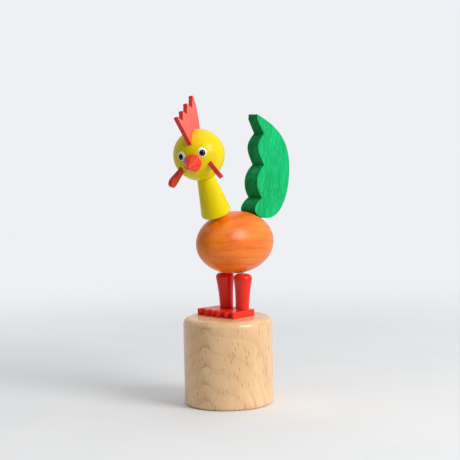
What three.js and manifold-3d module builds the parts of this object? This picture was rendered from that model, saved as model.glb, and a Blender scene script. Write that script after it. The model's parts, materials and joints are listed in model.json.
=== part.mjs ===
// Push puppet: a chicken of turned and sawn wood, strung on two cords over a sprung button in a
// drum. Pressing the button slackens the cords and the chicken folds up.
// Millimetres, +Z up. The chicken faces -Y, so its left side is +X. The origin is on the drum's
// axis, in the plane that the drum stands on. Angles are in degrees.

import * as THREE from "three";
import { mergeVertices } from "three/addons/utils/BufferGeometryUtils.js";
import Module from "manifold-3d";

const wasm = await Module();
wasm.setup();

// ---- Driving dimensions ----

const SEAM = 0.3; // clear distance between pieces that rest on each other
const ENAMEL_SEAM = 0.1; // under a dab of enamel
const SLIDE_ROOM = 0.3; // radial clearance of the button in its bore
const CORD_ROOM = 0.5; // radial clearance of a cord in its hole
const PEG_ROOM = 0.3; // radial clearance of the beak's peg
const SPRING_ROOM = 1; // radial clearance of the spring in its chamber
const STOP_ROOM = 0.5; // left above the button at the end of its travel
const PAST = 1; // how far a cut reaches past the surface that it opens

const CORD_RADIUS = 0.5;
const CORD_SIDES = 8;
const CORD_STEPS = 12;
const KNOT_RADIUS = 1.4;
const KNOT_SIDES = 12;

const DRUM = { radius: 20, height: 39.2, wall: 4.5, roof: 11, topRound: 3, bottomRound: 1.6 };
const BUTTON = { thickness: 8, recess: 2, edge: 0.8, travel: 9.5 };
const SPRING = { meanRadius: 9, wireRadius: 0.45, activeTurns: 6, endPitch: 1.02 };

// A foot is a sawn plate with three toes. The pair stands a little to the chicken's right.
const FOOT = { width: 10.4, length: 14.5, thickness: 3, toeOut: 3.5, toes: 3, notch: 2.7, toeTip: 1.1 };
const FEET_PLACE = { right: 2.4, back: 1.4 };

// A leg is straight up to its calf. Its foot end and its hip end each have a distance from the
// middle plane.
const LEG = { length: 15.8, footRadius: 3.05, calf: 7.1, hipRadius: 4.15, shoulder: 2 };
const LEGS_APART = { foot: 5, hip: 5.8 };
const LEGS_BACK = 4.4; // the legs' place behind the drum's axis

// An egg turned about its long axis, which runs from front to back.
const BODY = { halfLength: 20.3, radius: 14, behindLegs: 1.2, cordBend: 8.4 };

// The neck's length is counted from the lowest point of its domed foot to its rim at the head.
const NECK = { length: 18.9, footRadius: 6.7, topRadius: 3.9, edge: 1.4, dome: 1.1 };
const NECK_PLACE = { forward: 10.6, lean: 20.5 };

// Directions on the head are an azimuth from straight ahead towards the chicken's left, and an
// elevation above the head's equator.
const HEAD = { radius: 11.3, turn: 30.5 };
const EYE = { azimuth: 27, elevation: 19.7, radius: 2, rim: 0.15, dome: 0.3 };
const PUPIL = { radius: 1.33, drop: 1.8 };
const BEAK = { elevation: 2, radius: 3.9, reach: 19, rim: 0.3, cheek: 1.5, tip: 0.7 };
const PEG = { radius: 1.6, depth: 4 };
// A wattle is straight to its shoulder and then widens to its round end. Its root and its end lie
// beside its frame's middle line.
const WATTLE = { radius: 2.5, exposed: 9.6, embedded: 2.4, thickness: 1.9, shoulder: 1.3 };
const WATTLE_ASIDE = { root: -1.4, end: -0.2 };
const WATTLE_ROOT_WIDTH = 2.6;
const WATTLE_ROOT = { azimuth: 35, elevation: -7 };
const WATTLE_HANG = { azimuth: 42, elevation: -36, roll: -30.6 };

// The comb is a plate in the head's middle plane. Its outline is in distances ahead of the head's
// centre and above the head's crown, and its foot sits in a sawn slot.
const COMB = { thickness: 1.9, slotDepth: 3.8, footFront: 8.4, footBack: -8.2, tipWidth: 1.3 };
const COMB_TIPS = [[15.1, 11.5], [6.8, 11.4], [-1.6, 12], [-11.9, 12.2]];
const COMB_NOTCHES = [[10.2, 8], [2.5, 8.3], [-6.6, 8.2]];
const COMB_BACK = [[-13.6, 7.3], [-11.6, 1.9]];

// The tail is a plate that thickens downwards and sits on the body at a distance behind the body's
// centre. Its outline is in distances behind that centre and in heights on a scale that has the
// seat at a set height. The front edge runs straight from the tip to the first notch, and then
// bulges forward in a lobe below each notch. A lobe is given by its curve's two control points.
const TAIL = { tipThickness: 5.6, footThickness: 9.4, cordDepth: 14, cordLean: 18 };
const TAIL_SEAT = { behind: 12.2, height: 11.19 };
const TAIL_TIP = [[13, 56.9], [12.8, 54.6]];
const TAIL_NOTCHES = [[16.6, 48.2], [15.8, 34], [13.4, 19.3]];
const TAIL_LOBES = [
  [[11.2, 43.2], [11.2, 41.9]],
  [[9.3, 29.8], [9.8, 23.6]],
  [[7.9, 16.4], [7.2, 13.2]],
];
const TAIL_SOLE = [[11, 11.2], [14.6, 9.6], [18.6, 10]];
const TAIL_REARMOST = [32.4, 34];
const TAIL_BACK = { below: [[27, 11.5], [32.4, 22]], above: [[32.4, 44], [27.3, 50.5]] };

// ---- Sizes that follow ----

const cordBore = CORD_RADIUS + CORD_ROOM;
const boreRadius = DRUM.radius - DRUM.wall;
const chamberRadius = SPRING.meanRadius + SPRING.wireRadius + SPRING_ROOM;
const buttonTop = BUTTON.recess + BUTTON.thickness;
const shoulderHeight = buttonTop + BUTTON.travel + STOP_ROOM;
const chamberTop = DRUM.height - DRUM.roof;
const footTop = DRUM.height + FOOT.thickness;
const legBottom = footTop + SEAM;
const knotHeight = BUTTON.recess + SEAM + KNOT_RADIUS;
const combFloor = HEAD.radius - COMB.slotDepth;

// ---- Helpers ----

const radians = THREE.MathUtils.degToRad;

function material(color, roughness, metalness = 0) {
  return new THREE.MeshStandardMaterial({ color, roughness, metalness });
}

// A closed geometry as a manifold-3d solid.
function solid(geometry) {
  const bare = geometry.index ? geometry.toNonIndexed() : geometry.clone();
  bare.deleteAttribute("normal");
  bare.deleteAttribute("uv");
  const merged = mergeVertices(bare, 1e-4);
  return new wasm.Manifold(
    new wasm.Mesh({
      numProp: 3,
      vertProperties: merged.attributes.position.array,
      triVerts: new Uint32Array(merged.index.array),
    }),
  );
}

// A manifold-3d solid as a geometry.
function geometryOf(manifold) {
  const { vertProperties, triVerts } = manifold.getMesh();
  const geometry = new THREE.BufferGeometry();
  geometry.setAttribute("position", new THREE.BufferAttribute(vertProperties, 3));
  geometry.setIndex(new THREE.BufferAttribute(triVerts, 1));
  geometry.computeVertexNormals();
  return geometry;
}

function cut(geometry, ...tools) {
  return geometryOf(tools.reduce((rest, tool) => rest.subtract(solid(tool)), solid(geometry)));
}

// Turns an outline of [radius, height] points, counter-clockwise seen with the radius to the
// right and the height upwards, about the Z axis.
function turned(outline, segments) {
  const points = outline.map(([radius, height]) => new THREE.Vector2(radius, height));
  if (outline[0][0] > 0) points.push(points[0].clone());
  return new THREE.LatheGeometry(points, segments).rotateX(Math.PI / 2);
}

// Points of an arc about [radius, height], from one angle to another.
function arc(centre, radius, from, to, steps) {
  return Array.from({ length: steps + 1 }, (_, i) => {
    const angle = radians(from + ((to - from) * i) / steps);
    return [centre[0] + radius * Math.cos(angle), centre[1] + radius * Math.sin(angle)];
  });
}

function rod(radius, from, to, sides = CORD_SIDES) {
  const along = to.clone().sub(from);
  const upright = new THREE.Vector3(0, 1, 0);
  const turn = new THREE.Quaternion().setFromUnitVectors(upright, along.clone().normalize());
  const middle = from.clone().add(to).multiplyScalar(0.5);
  return new THREE.CylinderGeometry(radius, radius, along.length(), sides)
    .applyQuaternion(turn)
    .translate(middle.x, middle.y, middle.z);
}

function circle(radius, sides) {
  const shape = new THREE.Shape();
  for (let i = 0; i < sides; i++) {
    const angle = (2 * Math.PI * i) / sides;
    const point = [radius * Math.cos(angle), radius * Math.sin(angle)];
    if (i === 0) shape.moveTo(...point);
    else shape.lineTo(...point);
  }
  return shape;
}

function tube(radius, curve, steps, sides = CORD_SIDES) {
  const options = { steps, extrudePath: curve, bevelEnabled: false };
  return new THREE.ExtrudeGeometry(circle(radius, sides), options);
}

function plate(shape, thickness, curveSegments = 6) {
  const options = { depth: thickness, bevelEnabled: false, curveSegments };
  return new THREE.ExtrudeGeometry(shape, options).translate(0, 0, -thickness / 2);
}

function ellipsoid(growth) {
  const long = BODY.halfLength + growth;
  const round = BODY.radius + growth;
  const steps = 22;
  const outline = Array.from({ length: steps + 1 }, (_, i) => {
    const angle = -Math.PI / 2 + (Math.PI * i) / steps;
    const radius = i === 0 || i === steps ? 0 : round * Math.cos(angle);
    return new THREE.Vector2(radius, long * Math.sin(angle));
  });
  return new THREE.LatheGeometry(outline, 40);
}

// How far along a direction a line from a point crosses the body, grown by some clearance: the
// first crossing (side -1) or the last one (side 1). The body's centre is the origin.
function bodyCrossing(point, direction, growth, side) {
  const reach = new THREE.Vector3(BODY.radius, BODY.halfLength, BODY.radius).addScalar(growth);
  const p = point.clone().divide(reach);
  const d = direction.clone().divide(reach);
  const a = d.dot(d);
  const b = p.dot(d);
  const inside = b * b - a * (p.dot(p) - 1);
  return inside < 0 ? -Infinity : (side * Math.sqrt(inside) - b) / a;
}

// How far a turned underside must be lifted along its axis to clear the body by the seam. The
// underside is given by its [radius, height] points and by a frame with its axis along Z.
function seatLift(underside, frame) {
  const axis = new THREE.Vector3().setFromMatrixColumn(frame, 2);
  const places = 24;
  const lifts = underside.flatMap(([radius, height]) =>
    Array.from({ length: places }, (_, i) => {
      const angle = (2 * Math.PI * i) / places;
      const point = new THREE.Vector3(radius * Math.cos(angle), radius * Math.sin(angle), height);
      return bodyCrossing(point.applyMatrix4(frame), axis, SEAM, 1);
    }),
  );
  return Math.max(...lifts);
}

// The height of the body's surface above its centre, at a distance behind the centre.
function bodySurface(behind) {
  return BODY.radius * Math.sqrt(1 - (behind / BODY.halfLength) ** 2);
}

// A unit direction on the head. The head's own frame faces -Y.
function facing(azimuth, elevation) {
  const flat = Math.cos(radians(elevation));
  return new THREE.Vector3(
    flat * Math.sin(radians(azimuth)),
    -flat * Math.cos(radians(azimuth)),
    Math.sin(radians(elevation)),
  );
}

const model = new THREE.Group();

function add(parent, name, geometry, look) {
  const mesh = new THREE.Mesh(geometry, look);
  mesh.name = name;
  parent.add(mesh);
  return mesh;
}

const redEnamel = () => material(0xd92b20, 0.35);
const cordLook = () => material(0xe9e2cf, 0.9);

// ---- The two cords ----

// Each side's leg has a cord: the right one ends in the head and the left one in the tail.
const SIDES = [
  { side: "left", sign: 1, cord: "tail_cord" },
  { side: "right", sign: -1, cord: "neck_cord" },
];

const footEnd = (sign) => new THREE.Vector3(sign * LEGS_APART.foot, LEGS_BACK, legBottom);

function legAxis(sign) {
  const outwards = LEGS_APART.hip - LEGS_APART.foot;
  const upwards = Math.sqrt(LEG.length ** 2 - outwards ** 2);
  return new THREE.Vector3(sign * outwards, 0, upwards).normalize();
}

function cordHole(sign, from, to) {
  const { x, y } = footEnd(sign);
  return rod(cordBore, new THREE.Vector3(x, y, from), new THREE.Vector3(x, y, to));
}

// ---- Drum, button and spring ----

function drumGeometry() {
  const { radius, height, topRound, bottomRound } = DRUM;
  const outline = [
    [0, chamberTop],
    [chamberRadius, chamberTop],
    [chamberRadius, shoulderHeight],
    [boreRadius, shoulderHeight],
    [boreRadius, 0],
    ...arc([radius - bottomRound, bottomRound], bottomRound, -90, 0, 4),
    ...arc([radius - topRound, height - topRound], topRound, 0, 90, 5),
    [0, height],
  ];
  const holes = SIDES.map(({ sign }) => cordHole(sign, chamberTop - PAST, height + PAST));
  return cut(turned(outline, 56), ...holes);
}

function buttonGeometry() {
  const radius = boreRadius - SLIDE_ROOM;
  const { recess, edge } = BUTTON;
  const outline = [
    [0, recess],
    ...arc([radius - edge, recess + edge], edge, -90, 0, 2),
    ...arc([radius - edge, buttonTop - edge], edge, 0, 90, 2),
    [0, buttonTop],
  ];
  const tools = SIDES.flatMap(({ sign }) => {
    const { x, y } = footEnd(sign);
    const mouth = new THREE.Vector3(x, y, recess - PAST);
    const floor = new THREE.Vector3(x, y, knotHeight + KNOT_RADIUS + SEAM);
    const pocket = rod(KNOT_RADIUS + SEAM, mouth, floor, KNOT_SIDES);
    return [cordHole(sign, recess - PAST, buttonTop + PAST), pocket];
  });
  return cut(turned(outline, 48), ...tools);
}

// A compression spring. Its end turns lie closed, and its other turns share the rest of its height.
class Coil extends THREE.Curve {
  constructor(bottom, top) {
    super();
    this.bottom = bottom;
    this.top = top;
  }

  getPoint(t, target = new THREE.Vector3()) {
    const { meanRadius, wireRadius, activeTurns, endPitch } = SPRING;
    const turns = activeTurns + 2;
    const closed = 2 * wireRadius * endPitch;
    const open = (this.top - this.bottom - 2 * closed) / activeTurns;
    const turn = t * turns;
    const below = Math.min(turn, 1);
    const above = Math.max(turn - turns + 1, 0);
    const height = this.bottom + closed * (below + above) + open * (turn - below - above);
    const angle = 2 * Math.PI * turn;
    return target.set(meanRadius * Math.cos(angle), meanRadius * Math.sin(angle), height);
  }
}

function springGeometry() {
  const { wireRadius, activeTurns } = SPRING;
  const bottom = buttonTop + SEAM + wireRadius;
  const top = chamberTop - SEAM - wireRadius;
  const steps = 14 * (activeTurns + 2);
  return tube(wireRadius, new Coil(bottom, top), steps, 6);
}

// ---- Feet and legs ----

// A foot's outline, toes towards -Y, about its own middle.
function footShape() {
  const { width, length, toes, notch, toeTip } = FOOT;
  const shape = new THREE.Shape();
  const pitch = (width - toeTip) / (toes - 1);
  shape.moveTo(width / 2, length / 2);
  shape.lineTo(-width / 2, length / 2);
  for (let i = 0; i < toes; i++) {
    const start = -width / 2 + i * pitch;
    shape.lineTo(start, -length / 2);
    shape.lineTo(start + toeTip, -length / 2);
    if (i < toes - 1) shape.lineTo(start + (toeTip + pitch) / 2, -length / 2 + notch);
  }
  return shape;
}

function footGeometry(sign) {
  const { width, length, thickness, toeOut } = FOOT;
  const turn = radians(toeOut);
  const apart = (width * Math.cos(turn) + length * Math.sin(turn) + SEAM) / 2;
  const place = new THREE.Matrix4()
    .makeRotationZ(sign * turn)
    .setPosition(sign * apart - FEET_PLACE.right, FEET_PLACE.back, DRUM.height + thickness / 2);
  const foot = plate(footShape(), thickness).applyMatrix4(place);
  return cut(foot, cordHole(sign, DRUM.height - PAST, footTop + PAST));
}

function legGeometry() {
  const { length, footRadius, calf, hipRadius, shoulder } = LEG;
  const side = new THREE.QuadraticBezierCurve(
    new THREE.Vector2(footRadius, 0),
    new THREE.Vector2(footRadius, calf),
    new THREE.Vector2(hipRadius, length - shoulder),
  );
  const outline = [
    [cordBore, 0],
    ...side.getPoints(6).map(({ x, y }) => [x, y]),
    ...arc([hipRadius - shoulder, length - shoulder], shoulder, 0, 90, 4).slice(1),
    [cordBore, length],
  ];
  return turned(outline, 24);
}

// ---- Body ----

const hipTop = (sign) => footEnd(sign).addScaledVector(legAxis(sign), LEG.length);

// The body rests on the inner edges of the legs' flat tops, so its centre follows from theirs.
function findBodyCentre() {
  const edge = LEGS_APART.hip - (LEG.hipRadius - LEG.shoulder);
  const underside = new THREE.Vector3(edge, -BODY.behindLegs, 0);
  const drop = bodyCrossing(underside, new THREE.Vector3(0, 0, 1), SEAM, 1);
  return new THREE.Vector3(0, LEGS_BACK + BODY.behindLegs, hipTop(1).z + drop);
}

const bodyCentre = findBodyCentre();

const leaning = (angle) => new THREE.Vector3(0, -Math.sin(radians(angle)), Math.cos(radians(angle)));
const neckAxis = leaning(NECK_PLACE.lean);
const tailAxis = leaning(-TAIL.cordLean);
const neckSeat = new THREE.Vector3(0, -NECK_PLACE.forward, bodySurface(NECK_PLACE.forward));
const tailSeat = new THREE.Vector3(0, TAIL_SEAT.behind, bodySurface(TAIL_SEAT.behind));

// A cord's route through the body, in the body's own frame: in along the leg, one smooth bend,
// and out along the seat's axis. A margin carries it on past both ends, and a negative one stops
// it short of them.
function bodyRoute(sign, seat, axis, margin) {
  const leg = legAxis(sign);
  const hip = hipTop(sign).sub(bodyCentre);
  const entry = hip.addScaledVector(leg, bodyCrossing(hip, leg, 0, -1));
  const middle = new THREE.CubicBezierCurve3(
    entry,
    entry.clone().addScaledVector(leg, BODY.cordBend),
    seat.clone().addScaledVector(axis, -BODY.cordBend),
    seat,
  );
  const inner = middle.getPoints(8).slice(1, -1);
  const start = entry.clone().addScaledVector(leg, -margin);
  const end = seat.clone().addScaledVector(axis, margin);
  return new THREE.CatmullRomCurve3([start, ...inner, end], false, "centripetal");
}

const ROUTES = {
  neck_cord: (margin) => bodyRoute(-1, neckSeat, neckAxis, margin),
  tail_cord: (margin) => bodyRoute(1, tailSeat, tailAxis, margin),
};

function bodyGeometry() {
  const channels = Object.values(ROUTES).map((route) => tube(cordBore, route(2 * PAST), CORD_STEPS));
  return cut(ellipsoid(0), ...channels);
}

// ---- Neck ----

// The domed underside, from the hole to the rim.
function neckUnderside() {
  const rim = NECK.footRadius - NECK.edge;
  return [cordBore, rim * 0.45, rim * 0.75, rim].map((radius) => [
    radius,
    NECK.dome * (radius / rim) ** 2,
  ]);
}

function findNeckFrame() {
  const frame = new THREE.Matrix4().makeRotationX(radians(NECK_PLACE.lean)).setPosition(neckSeat);
  const lift = seatLift(neckUnderside(), frame);
  return frame.setPosition(neckSeat.clone().addScaledVector(neckAxis, lift));
}

const neckFrame = findNeckFrame();
const cupRadius = HEAD.radius + SEAM;
const headHeight = NECK.length + Math.sqrt(cupRadius ** 2 - NECK.topRadius ** 2);

function neckGeometry() {
  const { footRadius, topRadius, edge } = NECK;
  const cup = [topRadius, topRadius * 0.66, cordBore].map((radius) => [
    radius,
    headHeight - Math.sqrt(cupRadius ** 2 - radius ** 2),
  ]);
  const outline = [
    ...neckUnderside(),
    ...arc([footRadius - edge, NECK.dome + edge], edge, -90, 5, 4).slice(1),
    ...cup,
  ];
  return turned(outline, 32);
}

// ---- Head ----

const inHead = (azimuth, elevation) => {
  const axis = facing(azimuth, elevation);
  return new THREE.Matrix4().makeRotationFromQuaternion(
    new THREE.Quaternion().setFromUnitVectors(new THREE.Vector3(0, 0, 1), axis),
  );
};

// A comb or tail outline lies in a plane of front-back distance and height.
const combPlane = new THREE.Matrix4().makeBasis(
  new THREE.Vector3(0, -1, 0),
  new THREE.Vector3(0, 0, 1),
  new THREE.Vector3(-1, 0, 0),
);
const tailPlane = new THREE.Matrix4().makeBasis(
  new THREE.Vector3(0, 1, 0),
  new THREE.Vector3(0, 0, 1),
  new THREE.Vector3(1, 0, 0),
);

function combShape() {
  const half = COMB.tipWidth / 2;
  const shape = new THREE.Shape();
  const foot = SEAM - COMB.slotDepth;
  shape.moveTo(COMB.footBack, foot);
  shape.lineTo(COMB.footFront, foot);
  COMB_TIPS.forEach(([ahead, height], i) => {
    shape.lineTo(ahead + half, height - half);
    shape.lineTo(ahead + half * 0.4, height);
    shape.lineTo(ahead - half * 0.4, height);
    shape.lineTo(ahead - half, height - half);
    if (COMB_NOTCHES[i]) shape.lineTo(...COMB_NOTCHES[i]);
  });
  shape.bezierCurveTo(...COMB_BACK.flat(), COMB.footBack, foot);
  return shape;
}

function combSlot() {
  const width = COMB.thickness + 2 * SEAM;
  const height = COMB.slotDepth + PAST;
  const middle = combFloor + height / 2;
  return new THREE.BoxGeometry(width, 2 * (HEAD.radius + PAST), height).translate(0, 0, middle);
}

function beakGeometry() {
  const { radius, reach, rim, cheek, tip } = BEAK;
  const onHead = (r) => Math.sqrt(cupRadius ** 2 - r * r);
  const back = [PEG.radius, (PEG.radius + radius) / 2, radius - rim].map((r) => [r, onHead(r)]);
  const side = arc([radius - cheek, onHead(radius - rim) + cheek - rim], cheek, -35, 25, 4);
  const outline = [
    [0, HEAD.radius - PEG.depth + SEAM],
    [PEG.radius, HEAD.radius - PEG.depth + SEAM],
    ...back,
    ...side,
    ...arc([0, reach - tip], tip, 25, 90, 3),
  ];
  outline[outline.length - 1][0] = 0;
  return turned(outline, 24).applyMatrix4(inHead(0, BEAK.elevation));
}

// A wattle's frame has its width along X, its length along Y and its root on the head's surface.
function wattleFrame(sign) {
  const { azimuth, elevation, roll } = WATTLE_HANG;
  const along = facing(sign * azimuth, elevation);
  const rising = facing(sign * azimuth, elevation + 90);
  const sideways = new THREE.Vector3().crossVectors(along, rising).multiplyScalar(sign);
  const across = rising
    .multiplyScalar(Math.cos(radians(roll)))
    .addScaledVector(sideways, -Math.sin(radians(roll)));
  const root = facing(sign * WATTLE_ROOT.azimuth, WATTLE_ROOT.elevation).multiplyScalar(HEAD.radius);
  return new THREE.Matrix4()
    .makeBasis(across, along, new THREE.Vector3().crossVectors(across, along))
    .setPosition(root);
}

function wattleShape() {
  const { radius, exposed, embedded, shoulder } = WATTLE;
  const { root, end } = WATTLE_ASIDE;
  const half = WATTLE_ROOT_WIDTH / 2;
  const shape = new THREE.Shape();
  shape.moveTo(root - half, -embedded);
  shape.lineTo(root + half, -embedded);
  shape.lineTo(root + half, shoulder);
  shape.lineTo(end + radius, exposed - radius);
  shape.absarc(end, exposed - radius, radius, 0, Math.PI, false);
  shape.lineTo(root - half, shoulder);
  return shape;
}

function wattleSlot(sign) {
  const depth = WATTLE.embedded + SEAM;
  const reach = WATTLE.exposed;
  const width = WATTLE_ROOT_WIDTH + 2 * SEAM;
  return new THREE.BoxGeometry(width, depth + reach, WATTLE.thickness + 2 * SEAM)
    .translate(WATTLE_ASIDE.root, (reach - depth) / 2, 0)
    .applyMatrix4(wattleFrame(sign));
}

// A dab of enamel: a shallow dome whose back follows the ball.
function dabGeometry(radius, lift, azimuth, elevation) {
  const back = [0, 0.55, 1].map((share) => {
    const r = radius * share;
    return [r, Math.sqrt((HEAD.radius + lift) ** 2 - r * r)];
  });
  const front = [1, 0.55, 0].map((share) => {
    const r = radius * share;
    const crown = EYE.rim + EYE.dome * (1 - share ** 2);
    return [r, Math.sqrt((HEAD.radius + lift) ** 2 - r * r) + crown];
  });
  return turned([...back, ...front], 16).applyMatrix4(inHead(azimuth, elevation));
}

// The neck's cord ends in a knot in a pocket under the comb's slot.
const headKnotHeight = combFloor - SEAM - KNOT_RADIUS;
const pocketFloor = headKnotHeight - KNOT_RADIUS - SEAM;

function headGeometry() {
  const { radius } = HEAD;
  const up = (height) => new THREE.Vector3(0, 0, height);
  const ahead = facing(0, BEAK.elevation);
  const ball = new THREE.SphereGeometry(radius, 36, 24).rotateX(Math.PI / 2);
  const holeFloor = ahead.clone().multiplyScalar(radius - PEG.depth);
  const hole = rod(PEG.radius + PEG_ROOM, holeFloor, ahead.clone().multiplyScalar(radius + PAST), 16);
  return cut(
    ball,
    combSlot(),
    wattleSlot(1),
    wattleSlot(-1),
    hole,
    rod(cordBore, up(-radius - PAST), up(pocketFloor + PAST)),
    rod(KNOT_RADIUS + SEAM, up(pocketFloor), up(combFloor + PAST), KNOT_SIDES),
  );
}

// ---- Tail ----

function tailShape() {
  const shape = new THREE.Shape();
  shape.moveTo(...TAIL_TIP[0]);
  shape.lineTo(...TAIL_TIP[1]);
  shape.lineTo(...TAIL_NOTCHES[0]);
  const lobeEnds = [...TAIL_NOTCHES.slice(1), TAIL_SOLE[0]];
  lobeEnds.forEach((end, i) => shape.bezierCurveTo(...TAIL_LOBES[i].flat(), ...end));
  shape.quadraticCurveTo(...TAIL_SOLE[1], ...TAIL_SOLE[2]);
  shape.bezierCurveTo(...TAIL_BACK.below.flat(), ...TAIL_REARMOST);
  shape.bezierCurveTo(...TAIL_BACK.above.flat(), ...TAIL_TIP[0]);
  return shape;
}

const alongTail = (distance) => tailSeat.clone().addScaledVector(tailAxis, distance);

// The tail in the body's frame, with its thickness growing evenly from tip to foot.
function tailGeometry() {
  const geometry = plate(tailShape(), 1).applyMatrix4(tailPlane);
  const position = geometry.getAttribute("position");
  const low = TAIL_SOLE[1][1];
  const high = TAIL_TIP[0][1];
  for (let i = 0; i < position.count; i++) {
    const share = (position.getZ(i) - low) / (high - low);
    position.setX(i, position.getX(i) * THREE.MathUtils.lerp(TAIL.footThickness, TAIL.tipThickness, share));
  }
  geometry.translate(0, 0, tailSeat.z - TAIL_SEAT.height);
  const hole = rod(cordBore, alongTail(-3 * PAST), alongTail(TAIL.cordDepth));
  return cut(geometry, ellipsoid(SEAM), hole);
}

// ---- Cords and knots ----

function cordBetween(from, to) {
  const along = to.clone().sub(from).normalize().multiplyScalar(SEAM);
  return rod(CORD_RADIUS, from.clone().add(along), to.clone().sub(along));
}

function knotGeometry(place) {
  return new THREE.SphereGeometry(KNOT_RADIUS, 12, 8).translate(place.x, place.y, place.z);
}

// ---- Assembly ----

const beech = () => material(0xd9b48c, 0.55);
const yellow = () => material(0xf2d800, 0.35);

add(model, "base_drum", drumGeometry(), beech());
add(model, "press_button", buttonGeometry(), beech());
add(model, "return_spring", springGeometry(), material(0xb9bcc0, 0.3, 1));

for (const { side, sign, cord } of SIDES) {
  add(model, `${side}_foot`, footGeometry(sign), redEnamel());

  const leg = add(model, `${side}_leg`, legGeometry(), redEnamel());
  leg.position.copy(footEnd(sign));
  leg.quaternion.setFromUnitVectors(new THREE.Vector3(0, 0, 1), legAxis(sign));

  const knot = footEnd(sign).setZ(knotHeight);
  const drumEnd = knot.clone().setZ(knotHeight + KNOT_RADIUS);
  add(model, `${cord}_knot`, knotGeometry(knot), cordLook());
  add(model, `${cord}_in_drum`, cordBetween(drumEnd, knot.clone().setZ(footTop)), cordLook());
  add(model, `${cord}_in_leg`, cordBetween(footEnd(sign), hipTop(sign)), cordLook());
}

const body = new THREE.Group();
body.position.copy(bodyCentre);
model.add(body);
add(body, "body", bodyGeometry(), material(0xf2701c, 0.4));
add(body, "neck_cord_in_body", tube(CORD_RADIUS, ROUTES.neck_cord(-SEAM), CORD_STEPS), cordLook());
add(body, "tail_cord_in_body", tube(CORD_RADIUS, ROUTES.tail_cord(-SEAM), CORD_STEPS), cordLook());
add(body, "tail", tailGeometry(), material(0x12a050, 0.6));
add(body, "tail_cord_in_tail", cordBetween(alongTail(SEAM), alongTail(TAIL.cordDepth)), cordLook());

const neck = new THREE.Group();
neck.applyMatrix4(neckFrame);
body.add(neck);
add(neck, "neck", neckGeometry(), yellow());
const upNeck = (height) => new THREE.Vector3(0, 0, height);
const cupFloor = headHeight - cupRadius;
add(neck, "neck_cord_in_neck", cordBetween(upNeck(0), upNeck(cupFloor)), cordLook());

const head = new THREE.Group();
head.position.set(0, 0, headHeight);
head.rotation.z = radians(HEAD.turn);
neck.add(head);
add(head, "head", headGeometry(), yellow());
const combGeometry = plate(combShape(), COMB.thickness).applyMatrix4(combPlane);
add(head, "comb", combGeometry.translate(0, 0, HEAD.radius), redEnamel());
add(head, "beak", beakGeometry(), redEnamel());
add(head, "head_knot", knotGeometry(upNeck(headKnotHeight)), cordLook());
const headCordTop = headKnotHeight - KNOT_RADIUS;
add(head, "neck_cord_in_head", cordBetween(upNeck(-HEAD.radius), upNeck(headCordTop)), cordLook());
for (const { side, sign } of SIDES) {
  const wattle = plate(wattleShape(), WATTLE.thickness).applyMatrix4(wattleFrame(sign));
  add(head, `${side}_wattle`, wattle, redEnamel());
  const white = dabGeometry(EYE.radius, ENAMEL_SEAM, sign * EYE.azimuth, EYE.elevation);
  add(head, `${side}_eye_white`, white, material(0xf7f7f2, 0.2));
  const pupilLift = 2 * ENAMEL_SEAM + EYE.rim + EYE.dome;
  const pupil = dabGeometry(PUPIL.radius, pupilLift, sign * EYE.azimuth, EYE.elevation - PUPIL.drop);
  add(head, `${side}_pupil`, pupil, material(0x0c0c10, 0.1));
}

export default model;
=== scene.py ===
"""The looks of a push puppet: a turned and painted wooden chicken on a beech drum.

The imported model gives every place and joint. Each class below makes one sub-assembly's finished
pieces by bench work on Blender primitives, and dresses them in its finishes. Sizes in the classes
are in millimetres, the chicken faces -Y, and its left side is +X.
"""

import json
import logging
from collections.abc import Callable, Sequence
from dataclasses import dataclass, field
from enum import Enum
from math import cos, pi, radians, sin, sqrt
from typing import Any

import bpy
from mathutils import Matrix, Vector


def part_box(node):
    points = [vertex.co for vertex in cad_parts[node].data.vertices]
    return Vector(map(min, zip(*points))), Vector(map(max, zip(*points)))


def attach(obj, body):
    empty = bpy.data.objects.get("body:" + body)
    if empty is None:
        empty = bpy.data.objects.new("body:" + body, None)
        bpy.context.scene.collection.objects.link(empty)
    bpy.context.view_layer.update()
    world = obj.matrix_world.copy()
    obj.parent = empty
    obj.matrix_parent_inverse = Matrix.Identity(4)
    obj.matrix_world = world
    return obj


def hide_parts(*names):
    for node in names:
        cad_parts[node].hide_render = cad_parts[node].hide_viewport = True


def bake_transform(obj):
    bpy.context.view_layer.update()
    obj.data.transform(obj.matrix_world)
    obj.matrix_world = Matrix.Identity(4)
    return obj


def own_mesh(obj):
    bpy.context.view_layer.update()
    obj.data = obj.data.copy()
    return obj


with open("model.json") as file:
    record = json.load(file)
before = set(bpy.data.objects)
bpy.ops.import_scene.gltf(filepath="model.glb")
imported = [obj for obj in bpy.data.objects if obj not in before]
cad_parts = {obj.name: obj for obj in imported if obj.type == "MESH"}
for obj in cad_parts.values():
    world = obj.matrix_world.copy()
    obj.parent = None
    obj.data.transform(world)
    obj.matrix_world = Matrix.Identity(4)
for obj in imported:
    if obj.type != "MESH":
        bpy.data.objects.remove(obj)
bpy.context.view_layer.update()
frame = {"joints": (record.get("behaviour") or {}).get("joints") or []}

log = logging.getLogger("push_puppet")

MM = 0.001
FULL_TURN = 2 * pi
UP = Vector((0, 0, 1))
SMOOTH_ANGLE = radians(32)
WELD = 1e-7  # metres within which two vertices are one
OVERSHOOT = 1  # mm that a cutter reaches past the wood
EDGE_NORMAL = 0.5  # a plate's face is an edge if its normal points less than this through the plate
NOISE_SPAN = (0.3, 0.7)  # nearly all of a noise lies between these values
LACQUER_IOR = 1.5  # of lacquer and enamel alike
COAT_RELIEF = 0.15 * MM
ENAMEL_RELIEF = 0.2 * MM
FINE_RELIEF = 0.05 * MM  # of the lines on drawn wire and the fibres of cord

Profile = list[tuple[float, float]]
Colour = tuple[float, float, float, float]


class Side(Enum):
    """The chicken's two sides, by the sign of X."""

    LEFT = 1
    RIGHT = -1

    @property
    def label(self) -> str:
        """The side's name as node names spell it."""
        return self.name.lower()


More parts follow.
